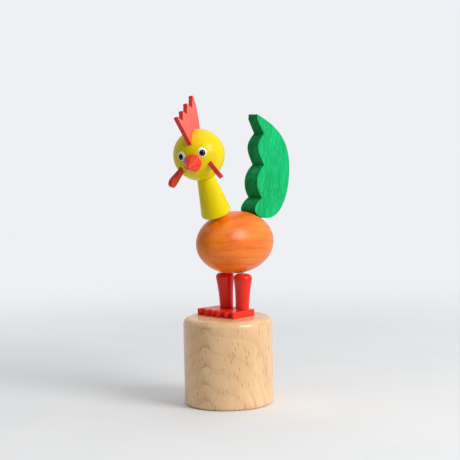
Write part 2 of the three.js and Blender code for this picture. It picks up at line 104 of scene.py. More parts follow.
class Grain(Enum):
    """How a piece was sawn: the turn, in degrees, that lays the tree's axis along the piece."""

    UPRIGHT = (13.5, 3.8, 0.0)
    FORE_AND_AFT = (86.0, 0.0, 4.0)
    TAILWARDS = (-10.0, 3.0, 0.0)
    NECKWARDS = (20.5, 3.0, 0.0)


# ---- Node trees ----


def linear(colour: str) -> Colour:
    """Turns an sRGB hex colour to linear light.

    Args:
        colour: six hex digits after a hash sign.

    Returns:
        Red, green, blue and a full alpha.
    """
    channels = (int(colour[i : i + 2], 16) / 255 for i in (1, 3, 5))
    red, green, blue = (c / 12.92 if c <= 0.04045 else ((c + 0.055) / 1.055) ** 2.4 for c in channels)
    return (red, green, blue, 1.0)


def add_node(
    tree: bpy.types.NodeTree,
    kind: str,
    settings: dict[str, Any] | None = None,
    inputs: dict[str | int, Any] | None = None,
) -> bpy.types.Node:
    """Adds a node with its settings and links.

    Args:
        tree: the material's node tree.
        kind: the node's type, without the "ShaderNode" in front.
        settings: the node's properties by name.
        inputs: a value, or another node's output, for each input by name or number.

    Returns:
        The new node.
    """
    node = tree.nodes.new("ShaderNode" + kind)
    for name, value in (settings or {}).items():
        setattr(node, name, value)
    for name, value in (inputs or {}).items():
        if isinstance(value, bpy.types.NodeSocket):
            tree.links.new(value, node.inputs[name])
        else:
            node.inputs[name].default_value = value
    return node


def new_material(name: str) -> tuple[bpy.types.Material, bpy.types.NodeTree]:
    """Makes an empty node material.

    Args:
        name: the material's name.

    Returns:
        The material and its tree.
    """
    material = bpy.data.materials.new(name)
    material.use_nodes = True
    material.node_tree.nodes.clear()
    return material, material.node_tree


def close_tree(tree: bpy.types.NodeTree, shader: bpy.types.Node) -> None:
    """Joins the shader to the material's output."""
    add_node(tree, "OutputMaterial", inputs={"Surface": shader.outputs[0]})


def millimetres(
    tree: bpy.types.NodeTree, turn: tuple[float, float, float], origin: tuple[float, float, float]
) -> bpy.types.NodeSocket:
    """The place on the piece in millimetres, in a frame of its own.

    Args:
        tree: the material's node tree.
        turn: the frame's turn in degrees.
        origin: the frame's origin in millimetres.

    Returns:
        The socket that carries the place.
    """
    place = add_node(tree, "TexCoord").outputs["Object"]
    mapping = add_node(
        tree,
        "Mapping",
        {"vector_type": "TEXTURE"},
        {
            "Vector": place,
            "Location": tuple(c * MM for c in origin),
            "Rotation": tuple(radians(a) for a in turn),
            "Scale": (MM, MM, MM),
        },
    )
    return mapping.outputs["Vector"]


def stretched(
    tree: bpy.types.NodeTree, place: bpy.types.NodeSocket, across: float, along: float
) -> bpy.types.NodeSocket:
    """Scales a place so that a unit pattern is so many millimetres across the grain and along it.

    Args:
        tree: the material's node tree.
        place: a place in millimetres, with the grain along Z.
        across: the pattern's size across the grain.
        along: its size along the grain.

    Returns:
        The socket that carries the scaled place.
    """
    size = (1 / across, 1 / across, 1 / along)
    return add_node(tree, "VectorMath", {"operation": "MULTIPLY"}, {0: place, 1: size}).outputs[0]


def mixed(
    tree: bpy.types.NodeTree, share: bpy.types.NodeSocket, first: Any, second: Any
) -> bpy.types.NodeSocket:
    """Mixes two colours.

    Args:
        tree: the material's node tree.
        share: how much of the second colour shows.
        first: a colour or a colour's socket.
        second: a colour or a colour's socket.

    Returns:
        The mixed colour's socket.
    """
    inputs = {"Factor": share, 6: first, 7: second}
    return add_node(tree, "Mix", {"data_type": "RGBA"}, inputs).outputs[2]


def ranged(
    tree: bpy.types.NodeTree, value: bpy.types.NodeSocket, low: float, high: float, to: tuple[float, float]
) -> bpy.types.NodeSocket:
    """Carries a value from one range to another and stops it at the new range's ends.

    Args:
        tree: the material's node tree.
        value: the value's socket.
        low: the value that becomes to[0].
        high: the value that becomes to[1].
        to: the new range.

    Returns:
        The new value's socket.
    """
    inputs = {"Value": value, "From Min": low, "From Max": high, "To Min": to[0], "To Max": to[1]}
    return add_node(tree, "MapRange", inputs=inputs).outputs[0]


# ---- Finishes ----


@dataclass(frozen=True)
class ShownWood:
    """Wood under a clear or a transparent stained coat, with its figure showing."""

    name: str
    pale: str  # early wood
    deep: str  # broad darker clouds
    late: str  # the thin dark line that ends each year's ring
    fleck: str  # ray flecks on beech, open pores on other woods
    ring: float = 2.0  # mm between rings
    ring_wander: float = 2.4  # mm that a ring strays from round
    wander_size: tuple[float, float] = (16.0, 60.0)  # mm across the grain and along it, as below
    late_share: float = 0.6  # how much of the late wood's colour shows at most
    late_least: float = 0.15  # and at least
    late_sharpness: float = 4.0
    patch_size: tuple[float, float] = (5.0, 13.0)  # of the stretches where late wood shows more
    patch_edges: tuple[float, float] = (0.38, 0.66)  # the noise's values between which it fades
    cloud_size: tuple[float, float] = (7.0, 22.0)
    cloud_edges: tuple[float, float] = (0.35, 0.65)
    fleck_across: float = 1.7  # mm between flecks, across the grain and along it
    fleck_along: float = 8.0
    fleck_size: float = 0.16
    fleck_core: float = 0.45  # the share of a fleck that is darkest
    fleck_share: float = 0.55
    fibre: str = "#ffffff"
    fibre_share: float = 0.25
    fibre_across: float = 0.35  # mm, coarser than a real fibre so that it shows
    fibre_along: float = 7.0
    fibre_edges: tuple[float, float] = (0.5, 0.72)
    dip: float = 0.0  # mm that the rings dip towards the pith along one upright line
    dip_line: tuple[float, float, float] = (0.0, 0.0, 0.0)  # a point on that line, in mm
    dip_reach: tuple[float, float] = (1.0, 4.0)  # mm from that line where the dip starts and stops fading
    dip_contrast: float = 0.7  # how much more late wood shows there, for each mm of dip
    turning: float = 0.0  # strength of the lathe's rings
    bump: float = 0.06
    roughness: float = 0.45
    specular: float = 0.3
    coat: float = 0.3
    coat_roughness: float = 0.25

    def dip_share(self, tree: bpy.types.NodeTree) -> bpy.types.NodeSocket:
        """How near a spot is to the upright line along which the rings dip.

        Args:
            tree: the material's node tree.

        Returns:
            The socket of a share that is 1 beside the line and dies away from it.
        """
        upright = millimetres(tree, (0, 0, 0), self.dip_line)
        level = add_node(tree, "VectorMath", {"operation": "MULTIPLY"}, {0: upright, 1: (1, 1, 0)}).outputs[0]
        aside = add_node(tree, "VectorMath", {"operation": "LENGTH"}, {0: level}).outputs["Value"]
        core, end = self.dip_reach
        inputs = {"Value": aside, "From Min": core, "From Max": end, "To Min": 1.0, "To Max": 0.0}
        return add_node(tree, "MapRange", {"interpolation_type": "SMOOTHSTEP"}, inputs).outputs[0]

    def late_wood(self, tree: bpy.types.NodeTree, place: bpy.types.NodeSocket) -> bpy.types.NodeSocket:
        """The thin dark lines of the rings, which fade in and out along the piece.

        Rings are surfaces about the pith. Their darkness climbs through the year and drops at once.

        Args:
            tree: the material's node tree.
            place: the place in millimetres, with the grain along Z.

        Returns:
            The socket of the late wood's share.
        """
        flat = add_node(tree, "VectorMath", {"operation": "MULTIPLY"}, {0: place, 1: (1, 1, 0)}).outputs[0]
        distance = add_node(tree, "VectorMath", {"operation": "LENGTH"}, {0: flat}).outputs["Value"]
        size = stretched(tree, place, *self.wander_size)
        inputs = {"Vector": size, "Scale": 1.0, "Detail": 3.0}
        wander = add_node(tree, "TexNoise", inputs=inputs).outputs["Fac"]
        near = self.dip_share(tree)
        inputs = {0: near, 1: self.dip, 2: distance}
        dipped = add_node(tree, "Math", {"operation": "MULTIPLY_ADD"}, inputs).outputs[0]
        inputs = {0: wander, 1: self.ring_wander * 2, 2: dipped}
        stray = add_node(tree, "Math", {"operation": "MULTIPLY_ADD"}, inputs).outputs[0]
        years = add_node(tree, "Math", {"operation": "DIVIDE"}, {0: stray, 1: self.ring}).outputs[0]
        season = add_node(tree, "Math", {"operation": "FRACT"}, {0: years}).outputs[0]
        inputs = {0: season, 1: self.late_sharpness}
        lateness = add_node(tree, "Math", {"operation": "POWER"}, inputs).outputs[0]

        size = stretched(tree, place, *self.patch_size)
        inputs = {"Vector": size, "Scale": 1.0, "Detail": 1.0}
        patches = add_node(tree, "TexNoise", inputs=inputs).outputs["Fac"]
        strength = ranged(tree, patches, *self.patch_edges, (self.late_least, self.late_share))
        inputs = {0: near, 1: self.dip * self.dip_contrast, 2: strength}
        plainness = add_node(tree, "Math", {"operation": "MULTIPLY_ADD"}, inputs).outputs[0]
        inputs = {0: lateness, 1: plainness}
        return add_node(tree, "Math", {"operation": "MULTIPLY", "use_clamp": True}, inputs).outputs[0]

    def relief(
        self,
        tree: bpy.types.NodeTree,
        place: bpy.types.NodeSocket,
        fibres: bpy.types.NodeSocket,
        fleck: bpy.types.NodeSocket,
    ) -> bpy.types.NodeSocket:
        """The coat's relief: it rises on fibres, sinks into flecks and keeps the lathe's rings.

        Args:
            tree: the material's node tree.
            place: the place in millimetres, with the grain along Z.
            fibres: the fibres' noise.
            fleck: the flecks' share.

        Returns:
            The socket of the bumped normal.
        """
        along = add_node(tree, "SeparateXYZ", inputs={0: place}).outputs["Z"]
        inputs = {"W": along, "Scale": 1.1, "Detail": 3.0}
        lathe = add_node(tree, "TexNoise", {"noise_dimensions": "1D"}, inputs).outputs["Fac"]
        sunk = add_node(tree, "Math", {"operation": "SUBTRACT"}, {0: fibres, 1: fleck}).outputs[0]
        inputs = {0: lathe, 1: self.turning, 2: sunk}
        height = add_node(tree, "Math", {"operation": "MULTIPLY_ADD"}, inputs).outputs[0]
        inputs = {"Strength": self.bump, "Distance": COAT_RELIEF, "Height": height}
        return add_node(tree, "Bump", inputs=inputs).outputs[0]

    def material(self, grain: Grain, pith: tuple[float, float, float]) -> bpy.types.Material:
        """Makes the finish for one piece.

        Args:
            grain: how the piece was sawn.
            pith: a point on the tree's axis, in millimetres.

        Returns:
            The material.
        """
        material, tree = new_material(self.name)
        place = millimetres(tree, grain.value, pith)

        size = stretched(tree, place, *self.cloud_size)
        inputs = {"Vector": size, "Scale": 1.0, "Detail": 2.0}
        clouds = add_node(tree, "TexNoise", inputs=inputs).outputs["Fac"]
        share = ranged(tree, clouds, *self.cloud_edges, (0, 1))
        colour = mixed(tree, share, linear(self.pale), linear(self.deep))
        colour = mixed(tree, self.late_wood(tree, place), colour, linear(self.late))

        size = stretched(tree, place, self.fibre_across, self.fibre_along)
        inputs = {"Vector": size, "Scale": 1.0, "Detail": 2.0}
        fibres = add_node(tree, "TexNoise", inputs=inputs).outputs["Fac"]
        streak = ranged(tree, fibres, *self.fibre_edges, (0, self.fibre_share))
        colour = mixed(tree, streak, colour, linear(self.fibre))

        size = stretched(tree, place, self.fleck_across, self.fleck_along)
        spindles = add_node(tree, "TexVoronoi", inputs={"Vector": size, "Scale": 1.0}).outputs["Distance"]
        core = self.fleck_size * self.fleck_core
        fleck = ranged(tree, spindles, core, self.fleck_size, (self.fleck_share, 0))
        colour = mixed(tree, fleck, colour, linear(self.fleck))

        gloss = ranged(tree, fibres, *NOISE_SPAN, (self.roughness - 0.05, self.roughness + 0.08))
        shader = add_node(
            tree,
            "BsdfPrincipled",
            inputs={
                "Base Color": colour,
                "Roughness": gloss,
                "IOR": LACQUER_IOR,
                "Specular IOR Level": self.specular,
                "Normal": self.relief(tree, place, fibres, fleck),
                "Coat Weight": self.coat,
                "Coat Roughness": self.coat_roughness,
            },
        )
        close_tree(tree, shader)
        return material


@dataclass(frozen=True)
class Enamel:
    """Opaque toy enamel dipped or brushed on wood: self-levelling, with the grain just telling."""

    name: str
    colour: str
    thin: str  # where the coat is thinner
    roughness: float = 0.3
    specular: float = 0.25
    coat: float = 0.2
    coat_roughness: float = 0.12
    peel: float = 0.9  # mm between the waves that a levelled coat keeps
    pool_size: tuple[float, float] = (4.5, 7.0)  # mm, of the stretches where the coat lies thicker
    thin_edges: tuple[float, float] = (0.2, 0.36)
    grain_across: float = 0.45
    grain_along: float = 6.0
    grain_relief: float = 0.6  # of the grain under the coat, beside the coat's own waves
    bump: float = 0.05
    variation: float = 0.5

    def material(self, grain: Grain = Grain.UPRIGHT) -> bpy.types.Material:
        """Makes the finish for one piece.

        Args:
            grain: how the piece under the coat was sawn.

        Returns:
            The material.
        """
        material, tree = new_material(self.name)
        place = millimetres(tree, grain.value, (0, 0, 0))
        size = stretched(tree, place, *self.pool_size)
        inputs = {"Vector": size, "Scale": 1.0, "Detail": 3.0}
        pools = add_node(tree, "TexNoise", inputs=inputs).outputs["Fac"]
        size = stretched(tree, place, self.grain_across, self.grain_along)
        inputs = {"Vector": size, "Scale": 1.0, "Detail": 2.0}
        telling = add_node(tree, "TexNoise", inputs=inputs).outputs["Fac"]
        thinness = add_node(tree, "Math", {"operation": "MULTIPLY"}, {0: pools, 1: telling}).outputs[0]
        share = ranged(tree, thinness, *self.thin_edges, (0, self.variation))
        colour = mixed(tree, share, linear(self.colour), linear(self.thin))

        size = stretched(tree, place, self.peel, self.peel)
        inputs = {"Vector": size, "Scale": 1.0, "Detail": 2.0}
        waves = add_node(tree, "TexNoise", inputs=inputs).outputs["Fac"]
        inputs = {0: telling, 1: self.grain_relief, 2: waves}
        height = add_node(tree, "Math", {"operation": "MULTIPLY_ADD"}, inputs).outputs[0]
        inputs = {"Strength": self.bump, "Distance": ENAMEL_RELIEF, "Height": height}
        relief = add_node(tree, "Bump", inputs=inputs).outputs[0]
        gloss = ranged(tree, pools, *NOISE_SPAN, (self.roughness - 0.04, self.roughness + 0.06))
        shader = add_node(
            tree,
            "BsdfPrincipled",
            inputs={
                "Base Color": colour,
                "Roughness": gloss,
                "IOR": LACQUER_IOR,
                "Specular IOR Level": self.specular,
                "Normal": relief,
                "Coat Weight": self.coat,
                "Coat Roughness": self.coat_roughness,
            },
        )
        close_tree(tree, shader)
        return material


@dataclass(frozen=True)
class DrawnSteel:
    """Spring wire, drawn through a die, which leaves fine lines along it and a soft shine."""

    name: str = "drawn_steel_wire"
    colour: str = "#b4b6b8"
    roughness: float = 0.3
    line: tuple[float, float] = (0.8, 0.2)  # mm long and apart; the spring's turns lie nearly level

    def material(self) -> bpy.types.Material:
        """Makes the finish.

        Returns:
            The material.
        """
        material, tree = new_material(self.name)
        place = millimetres(tree, (0, 0, 0), (0, 0, 0))
        inputs = {"Vector": stretched(tree, place, *self.line), "Scale": 1.0, "Detail": 3.0}
        smears = add_node(tree, "TexNoise", inputs=inputs).outputs["Fac"]
        inputs = {"Strength": 0.1, "Distance": FINE_RELIEF, "Height": smears}
        relief = add_node(tree, "Bump", inputs=inputs).outputs[0]
        gloss = ranged(tree, smears, *NOISE_SPAN, (self.roughness - 0.08, self.roughness + 0.12))
        shader = add_node(
            tree,
            "BsdfPrincipled",
            inputs={
                "Base Color": linear(self.colour),
                "Metallic": 1.0,
                "Roughness": gloss,
                "Normal": relief,
            },
        )
        close_tree(tree, shader)
        return material


@dataclass(frozen=True)
class WaxedCotton:
    """Three-ply cotton cord, waxed, which is matt with a little fuzz at grazing angles."""

    name: str = "waxed_cotton_cord"
    colour: str = "#e6dcc4"
    soiled: str = "#c3b595"
    fibre: float = 0.12  # mm, coarser than cotton's own 0.02 so that it shows

    def material(self) -> bpy.types.Material:
        """Makes the finish.

        Returns:
            The material.
        """
        material, tree = new_material(self.name)
        place = millimetres(tree, (0, 0, 0), (0, 0, 0))
        size = stretched(tree, place, self.fibre, self.fibre * 4)
        fibres = add_node(tree, "TexNoise", inputs={"Vector": size, "Scale": 1.0}).outputs["Fac"]
        inputs = {"Strength": 0.3, "Distance": FINE_RELIEF, "Height": fibres}
        relief = add_node(tree, "Bump", inputs=inputs).outputs[0]
        colour = mixed(tree, ranged(tree, fibres, 0.4, 0.7, (0, 1)), linear(self.colour), linear(self.soiled))
        shader = add_node(
            tree,
            "BsdfPrincipled",
            inputs={
                "Base Color": colour,
                "Roughness": 0.85,
                "Sheen Weight": 0.3,
                "Normal": relief,
            },
        )
        close_tree(tree, shader)
        return material


# Steamed European beech, turned, sanded and lacquered: pinkish tan, with short brown ray flecks.
BEECH = ShownWood(
    "lacquered_beech", "#f3cc9c", "#e9bd8b", "#a97040", "#a86c3a",
    ring=1.8, ring_wander=1.2, late_share=0.18, fleck_across=1.0, fleck_along=10.0, fleck_size=0.27,
    fleck_share=0.62, fibre="#f7dfbd", fibre_share=0.3, dip=0.55, dip_line=(5.3, -19.2, 0.0),
    turning=0.4, roughness=0.42, coat=0.5, coat_roughness=0.16,
)
# Maple or birch in a transparent orange stain, which darkens the late wood most.
ORANGE_STAIN = ShownWood(
    "orange_stained_maple", "#ff8a1c", "#ee6808", "#a03a08", "#c9560c",
    ring=3.1, ring_wander=3.2, late_share=0.36, fleck_across=2.0, fleck_along=7.0, fleck_share=0.25,
    fibre="#ffa547", fibre_share=0.3, turning=1.6, roughness=0.36, coat=0.3, coat_roughness=0.26,
)
# The same in green on a sawn plate: the stain lies unevenly on the fibres.
GREEN_STAIN = ShownWood(
    "green_stained_plate", "#00c476", "#00ab60", "#038a4a", "#03743e",
    ring=3.2, late_share=0.35, fleck_across=1.1, fleck_along=6.0, fleck_share=0.3, fibre="#3fe096",
    fibre_share=0.6, fibre_across=0.5, fibre_along=6.5, bump=0.1, roughness=0.6, specular=0.12, coat=0.0,
)
# Sawn and sanded edges drink more stain, so they dry darker and duller; their darker green is also painted
# shade, for edges that face away from the light.
GREEN_EDGE_AND_SHADE = ShownWood(
    "green_stained_edge_and_painted_shade", "#069a58", "#048048", "#025c34", "#025c34",
    ring=3.2, late_share=0.4, fleck_across=0.9, fleck_along=3.0, fleck_share=0.3, fibre="#2fbc78",
    fibre_share=0.6, fibre_across=0.5, fibre_along=3.0, bump=0.12, roughness=0.68, specular=0.12, coat=0.0,
)
YELLOW = Enamel("yellow_enamel", "#f3de00", "#e9c900", specular=0.15, coat=0.15, coat_roughness=0.2)
RED = Enamel("red_enamel", "#f23019", "#da2412", variation=0.3)
LEG_RED = Enamel("red_enamel_on_legs", "#f32a14", "#df2412", roughness=0.3, variation=0.3)
CORAL = Enamel("coral_enamel", "#fa6152", "#ee4a3e", roughness=0.42, coat=0.1, coat_roughness=0.3)
# Darker red for the sawn edges of comb and wattles: partly end grain that takes more enamel, partly painted
# shade on edges that face away from the light.
CRIMSON_EDGE_AND_SHADE = Enamel("crimson_enamel_on_edges_and_painted_shade", "#de3c34", "#c62a26", roughness=0.45, coat=0.05)
BEAK_RED = Enamel("red_enamel_on_beak", "#f53a1d", "#e32c16", coat=0.3)
WATTLE_RED = Enamel("red_enamel_on_wattles", "#e03626", "#cc281e", roughness=0.38)
EYE_WHITE = Enamel("white_enamel", "#fbfbf8", "#f4f4f0", roughness=0.2, peel=0.6, bump=0.02)
EYE_BLACK = Enamel(
    "black_enamel", "#08080c", "#0c0c16", roughness=0.05, specular=0.45, bump=0.0, coat=0.0,
)


# ---- Bench work ----


def arc(centre: tuple[float, float], radius: float, start: float, end: float, steps: int) -> Profile:
    """Points of an arc.

    Args:
        centre: the arc's centre.
        radius: its radius.
        start: the angle of its first point, in degrees.
        end: the angle of its last point, in degrees.
        steps: how many chords it has.

    Returns:
        The points, both ends among them.
    """
    angles = [radians(start + (end - start) * i / steps) for i in range(steps + 1)]
    return [(centre[0] + radius * cos(a), centre[1] + radius * sin(a)) for a in angles]


def bezier(points: Sequence[Sequence[float]], steps: int) -> Profile:
    """Points of a Bezier curve of any degree.

    Args:
        points: its control points.
        steps: how many chords it has.

    Returns:
        The points after the first, with the last among them.
    """
    curve = []
    for i in range(1, steps + 1):
        t = i / steps
        level = [Vector(p) for p in points]
        while len(level) > 1:
            level = [a.lerp(b, t) for a, b in zip(level, level[1:])]
        curve.append(tuple(level[0]))
    return curve


def facing(azimuth: float, elevation: float) -> Vector:
    """A unit direction on the head, which faces -Y.

    Args:
        azimuth: degrees from straight ahead towards the left side.
        elevation: degrees above level.

    Returns:
        The direction.
    """
    flat = cos(radians(elevation))
    azimuth = radians(azimuth)
    return Vector((flat * sin(azimuth), -flat * cos(azimuth), sin(radians(elevation))))


def aimed(direction: Vector) -> Matrix:
    """The turn that lays +Z along a direction."""
    return UP.rotation_difference(direction).to_matrix().to_4x4()


def moved(x: float, y: float, z: float) -> Matrix:
    """A move in millimetres, as a matrix in metres."""
    return Matrix.Translation(Vector((x, y, z)) * MM)


def clear_selection() -> None:
    """Leaves edit mode and deselects everything."""
    if bpy.context.object is not None and bpy.context.object.mode != "OBJECT":
        bpy.ops.object.mode_set(mode="OBJECT")
    bpy.ops.object.select_all(action="DESELECT")


def take(piece: bpy.types.Object) -> None:
    """Makes a piece the only selected one, and the active one.

    Args:
        piece: the piece.
    """
    clear_selection()
    piece.select_set(True)
    bpy.context.view_layer.objects.active = piece


def draw_line(name: str, points: Sequence[Vector]) -> bpy.types.Object:
    """Draws an open line by extruding a vertex from each point to the next, and stays in edit mode.

    Args:
        name: the new piece's name.
        points: the line's points, in metres.

    Returns:
        The piece, with its whole line selected.
    """
    clear_selection()
    bpy.ops.mesh.primitive_plane_add(size=MM)
    piece = bpy.context.object
    piece.name = name
    piece.data.name = name
    bpy.ops.object.mode_set(mode="EDIT")
    bpy.ops.mesh.select_mode(type="VERT")
    bpy.ops.mesh.select_all(action="SELECT")
    bpy.ops.mesh.merge(type="CENTER")
    bpy.ops.transform.translate(value=points[0])
    for here, there in zip(points, points[1:]):
        bpy.ops.mesh.extrude_region_move(TRANSFORM_OT_translate={"value": there - here})
    bpy.ops.mesh.select_all(action="SELECT")
    return piece


def close_shell() -> None:
    """Merges a shell's doubles, turns its faces outwards and leaves edit mode."""
    bpy.ops.mesh.select_all(action="SELECT")
    bpy.ops.mesh.remove_doubles(threshold=WELD)
    bpy.ops.mesh.normals_make_consistent(inside=False)
    bpy.ops.object.mode_set(mode="OBJECT")


def smooth(piece: bpy.types.Object) -> None:
    """Shades a piece smooth but for its sharp edges."""
    take(piece)
    bpy.ops.object.shade_smooth_by_angle(angle=SMOOTH_ANGLE)


def supported(profile: Profile, margin: float) -> Profile:
    """Adds a point near each end of a profile's long straight runs, so that they shade flat.

    Args:
        profile: the profile in millimetres.
        margin: how far the added points are from the ends.

    Returns:
        The profile with the added points.
    """
    result = [profile[0]]
    for here, there in zip(profile, profile[1:]):
        a, b = Vector(here), Vector(there)
        length = (b - a).length
        if length > 4 * margin:
            result += [tuple(a.lerp(b, margin / length)), tuple(a.lerp(b, 1 - margin / length))]
        result.append(there)
    return result


def turn_on_lathe(name: str, profile: Profile, segments: int = 96, margin: float = 0.25) -> bpy.types.Object:
    """Spins a profile about Z.

    Args:
        name: the new piece's name.
        profile: [radius, height] points in millimetres, from axis to axis or closed on itself.
        segments: how many steps the spin takes.
        margin: how close to a corner the supporting points are, in millimetres.

    Returns:
        The piece, smooth, at the origin.
    """
    points = [Vector((radius, 0, height)) * MM for radius, height in supported(profile, margin)]
    piece = draw_line(name, points)
    bpy.ops.mesh.spin(steps=segments, angle=FULL_TURN, center=(0, 0, 0), axis=(0, 0, 1))
    close_shell()
    smooth(piece)
    return piece


def saw_plate(name: str, outline: Profile, thickness: float, round_over: float = 0.0) -> bpy.types.Object:
    """Fills an outline, thickens it and eases its edges.

    Args:
        name: the new piece's name.
        outline: the outline's points in the XY plane, in millimetres.
        thickness: the plate's thickness, half of it on each side of the plane.
        round_over: the eased edges' radius, or 0 to leave them for later.

    Returns:
        The plate, at the origin.
    """
    points = [Vector((x, y, -thickness / 2)) * MM for x, y in outline]
    piece = draw_line(name, points)
    bpy.ops.mesh.edge_face_add()
    bpy.ops.mesh.extrude_region_move(TRANSFORM_OT_translate={"value": (0, 0, thickness * MM)})
    close_shell()
    if round_over:
        ease_edges(piece, round_over)
    return piece


def ease_edges(piece: bpy.types.Object, radius: float, angle: float = 35) -> None:
    """Rounds a piece's sharp edges over.

    Args:
        piece: the piece.
        radius: the rounding in millimetres.
        angle: how sharp an edge has to be, in degrees.
    """
    take(piece)
    bpy.ops.object.shade_smooth()
    bevel = piece.modifiers.new("eased_edges", "BEVEL")
    bevel.width = radius * MM
    bevel.segments = 3
    bevel.limit_method = "ANGLE"
    bevel.angle_limit = radians(angle)
    bevel.harden_normals = True
    bpy.ops.object.modifier_apply(modifier=bevel.name)


def cut(piece: bpy.types.Object, *tools: bpy.types.Object) -> None:
    """Cuts tools out of a piece and clears the tools away.

    Args:
        piece: the piece that is cut.
        tools: closed shapes.
    """
    for tool in tools:
        take(piece)
        boolean = piece.modifiers.new("cut", "BOOLEAN")
        boolean.operation = "DIFFERENCE"
        boolean.solver = "EXACT"
        boolean.object = tool
        bpy.ops.object.modifier_apply(modifier=boolean.name)
        bpy.data.objects.remove(tool)


def place(piece: bpy.types.Object, at: Matrix) -> bpy.types.Object:
    """Carries a piece to its place and applies the place to its mesh.

    Args:
        piece: the piece, at the origin.
        at: where it goes.

    Returns:
        The same piece.
    """
    take(piece)
    piece.matrix_world = at @ piece.matrix_world
    bpy.ops.object.transform_apply(location=True, rotation=True, scale=True)
    return piece


def drill(radius: float, start: Vector, end: Vector) -> bpy.types.Object:
    """A drill bit, to cut with.

    Args:
        radius: its radius in millimetres.
        start: where its axis begins, in millimetres.
        end: where its axis ends.

    Returns:
        The bit.
    """
    clear_selection()
    depth = (end - start).length * MM
    bpy.ops.mesh.primitive_cylinder_add(vertices=32, radius=radius * MM, depth=depth)
    middle = (start + end) / 2
    return place(bpy.context.object, moved(*middle) @ aimed(end - start))


def block(size: Vector, at: Matrix) -> bpy.types.Object:
    """A block to cut with.

    Args:
        size: its three sizes in millimetres.
        at: its middle and turn.

    Returns:
        The block.
    """
    clear_selection()
    bpy.ops.mesh.primitive_cube_add(size=MM)
    bpy.ops.transform.resize(value=size)
    return place(bpy.context.object, at)


def wire(
    name: str, lines: Sequence[Sequence[Vector]], radius: float, closed: bool = False
) -> bpy.types.Object:
    """Makes round wire or strands along lines.

    Args:
        name: the new piece's name.
        lines: the strands' centre lines, in millimetres.
        radius: a strand's radius in millimetres.
        closed: whether each line joins its own start.

    Returns:
        One mesh with every strand.
    """
    clear_selection()
    curve = bpy.data.curves.new(name, "CURVE")
    curve.dimensions = "3D"
    curve.bevel_depth = radius * MM
    curve.bevel_resolution = 2
    curve.use_fill_caps = not closed
    for line in lines:
        spline = curve.splines.new("POLY")
        spline.points.add(len(line) - 1)
        spline.use_cyclic_u = closed
        for point, at in zip(spline.points, line):
            point.co = (*(at * MM), 1)
    piece = bpy.data.objects.new(name, curve)
    bpy.context.scene.collection.objects.link(piece)
    take(piece)
    bpy.ops.object.convert(target="MESH")
    piece = bpy.context.object
    piece.name = name
    bpy.ops.object.mode_set(mode="EDIT")
    close_shell()
    smooth(piece)
    return piece


def dress(piece: bpy.types.Object, finish: bpy.types.Material) -> None:
    """Gives a piece one finish all over."""
    piece.data.materials.clear()
    piece.data.materials.append(finish)


def dress_faces(
    piece: bpy.types.Object, finish: bpy.types.Material, chosen: Callable[[Vector], bool]
) -> None:
    """Gives some of a piece's faces a finish of their own.

    Args:
        piece: the piece, which has its first finish.
        finish: the second finish.
        chosen: says, from a face's normal, whether it gets the second finish.
    """
    take(piece)
    piece.data.materials.append(finish)
    bpy.ops.object.mode_set(mode="EDIT")
    bpy.ops.mesh.select_mode(type="FACE")
    bpy.ops.mesh.select_all(action="DESELECT")
    bpy.ops.object.mode_set(mode="OBJECT")
    for face in piece.data.polygons:
        face.select = chosen(face.normal)
    piece.active_material_index = len(piece.data.materials) - 1
    bpy.ops.object.mode_set(mode="EDIT")
    bpy.ops.object.material_slot_assign()
    bpy.ops.object.mode_set(mode="OBJECT")


def dress_plate(
    plate: bpy.types.Object, sides: bpy.types.Material, edges: bpy.types.Material, across: int
) -> None:
    """Gives a plate one finish on its two sides and another on its sawn edges.

    Args:
        plate: the plate.
        sides: its sides' finish.
        edges: its edges' finish.
        across: the number of the axis that runs through the plate.
    """
    dress(plate, sides)
    dress_faces(plate, edges, lambda normal: abs(normal[across]) < EDGE_NORMAL)


def hand_over(piece: bpy.types.Object, body: str, node: str) -> None:
    """Lets a finished piece stand for its CAD node.

    Args:
        piece: the finished piece.
        body: the body that it moves with.
        node: the node that it replaces.
    """
    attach(piece, body)
    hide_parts(node)
    log.info("%s: %d faces, on %s", piece.name, len(piece.data.polygons), body)


def joint(name: str) -> dict[str, Any]:
    """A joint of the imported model, by name."""
    return next(j for j in frame["joints"] if j["name"] == name)


def middle_of(node: str) -> Vector:
    """The middle of a CAD node's box, in millimetres."""
    low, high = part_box(node)
    return (low + high) / 2 / MM


# ---- Places that the frame gives ----

HEAD_CENTRE = Vector(joint("head_swivel")["pos_m"]) / MM
NECK_AXIS = Vector(joint("head_swivel")["axis"])
BODY_CENTRE = middle_of("body")
DRUM_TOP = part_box("base_drum")[1].z / MM
FOOT_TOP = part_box("left_foot")[1].z / MM
BUTTON_LOW, BUTTON_TOP = (corner.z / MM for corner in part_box("press_button"))

SEAM = 0.08  # mm between finished pieces that rest on each other
MOUTH_RADIUS = 3.3  # of the countersunk holes where neck and head meet, which let the cord bend
MOUTH_DEPTH = 1.6


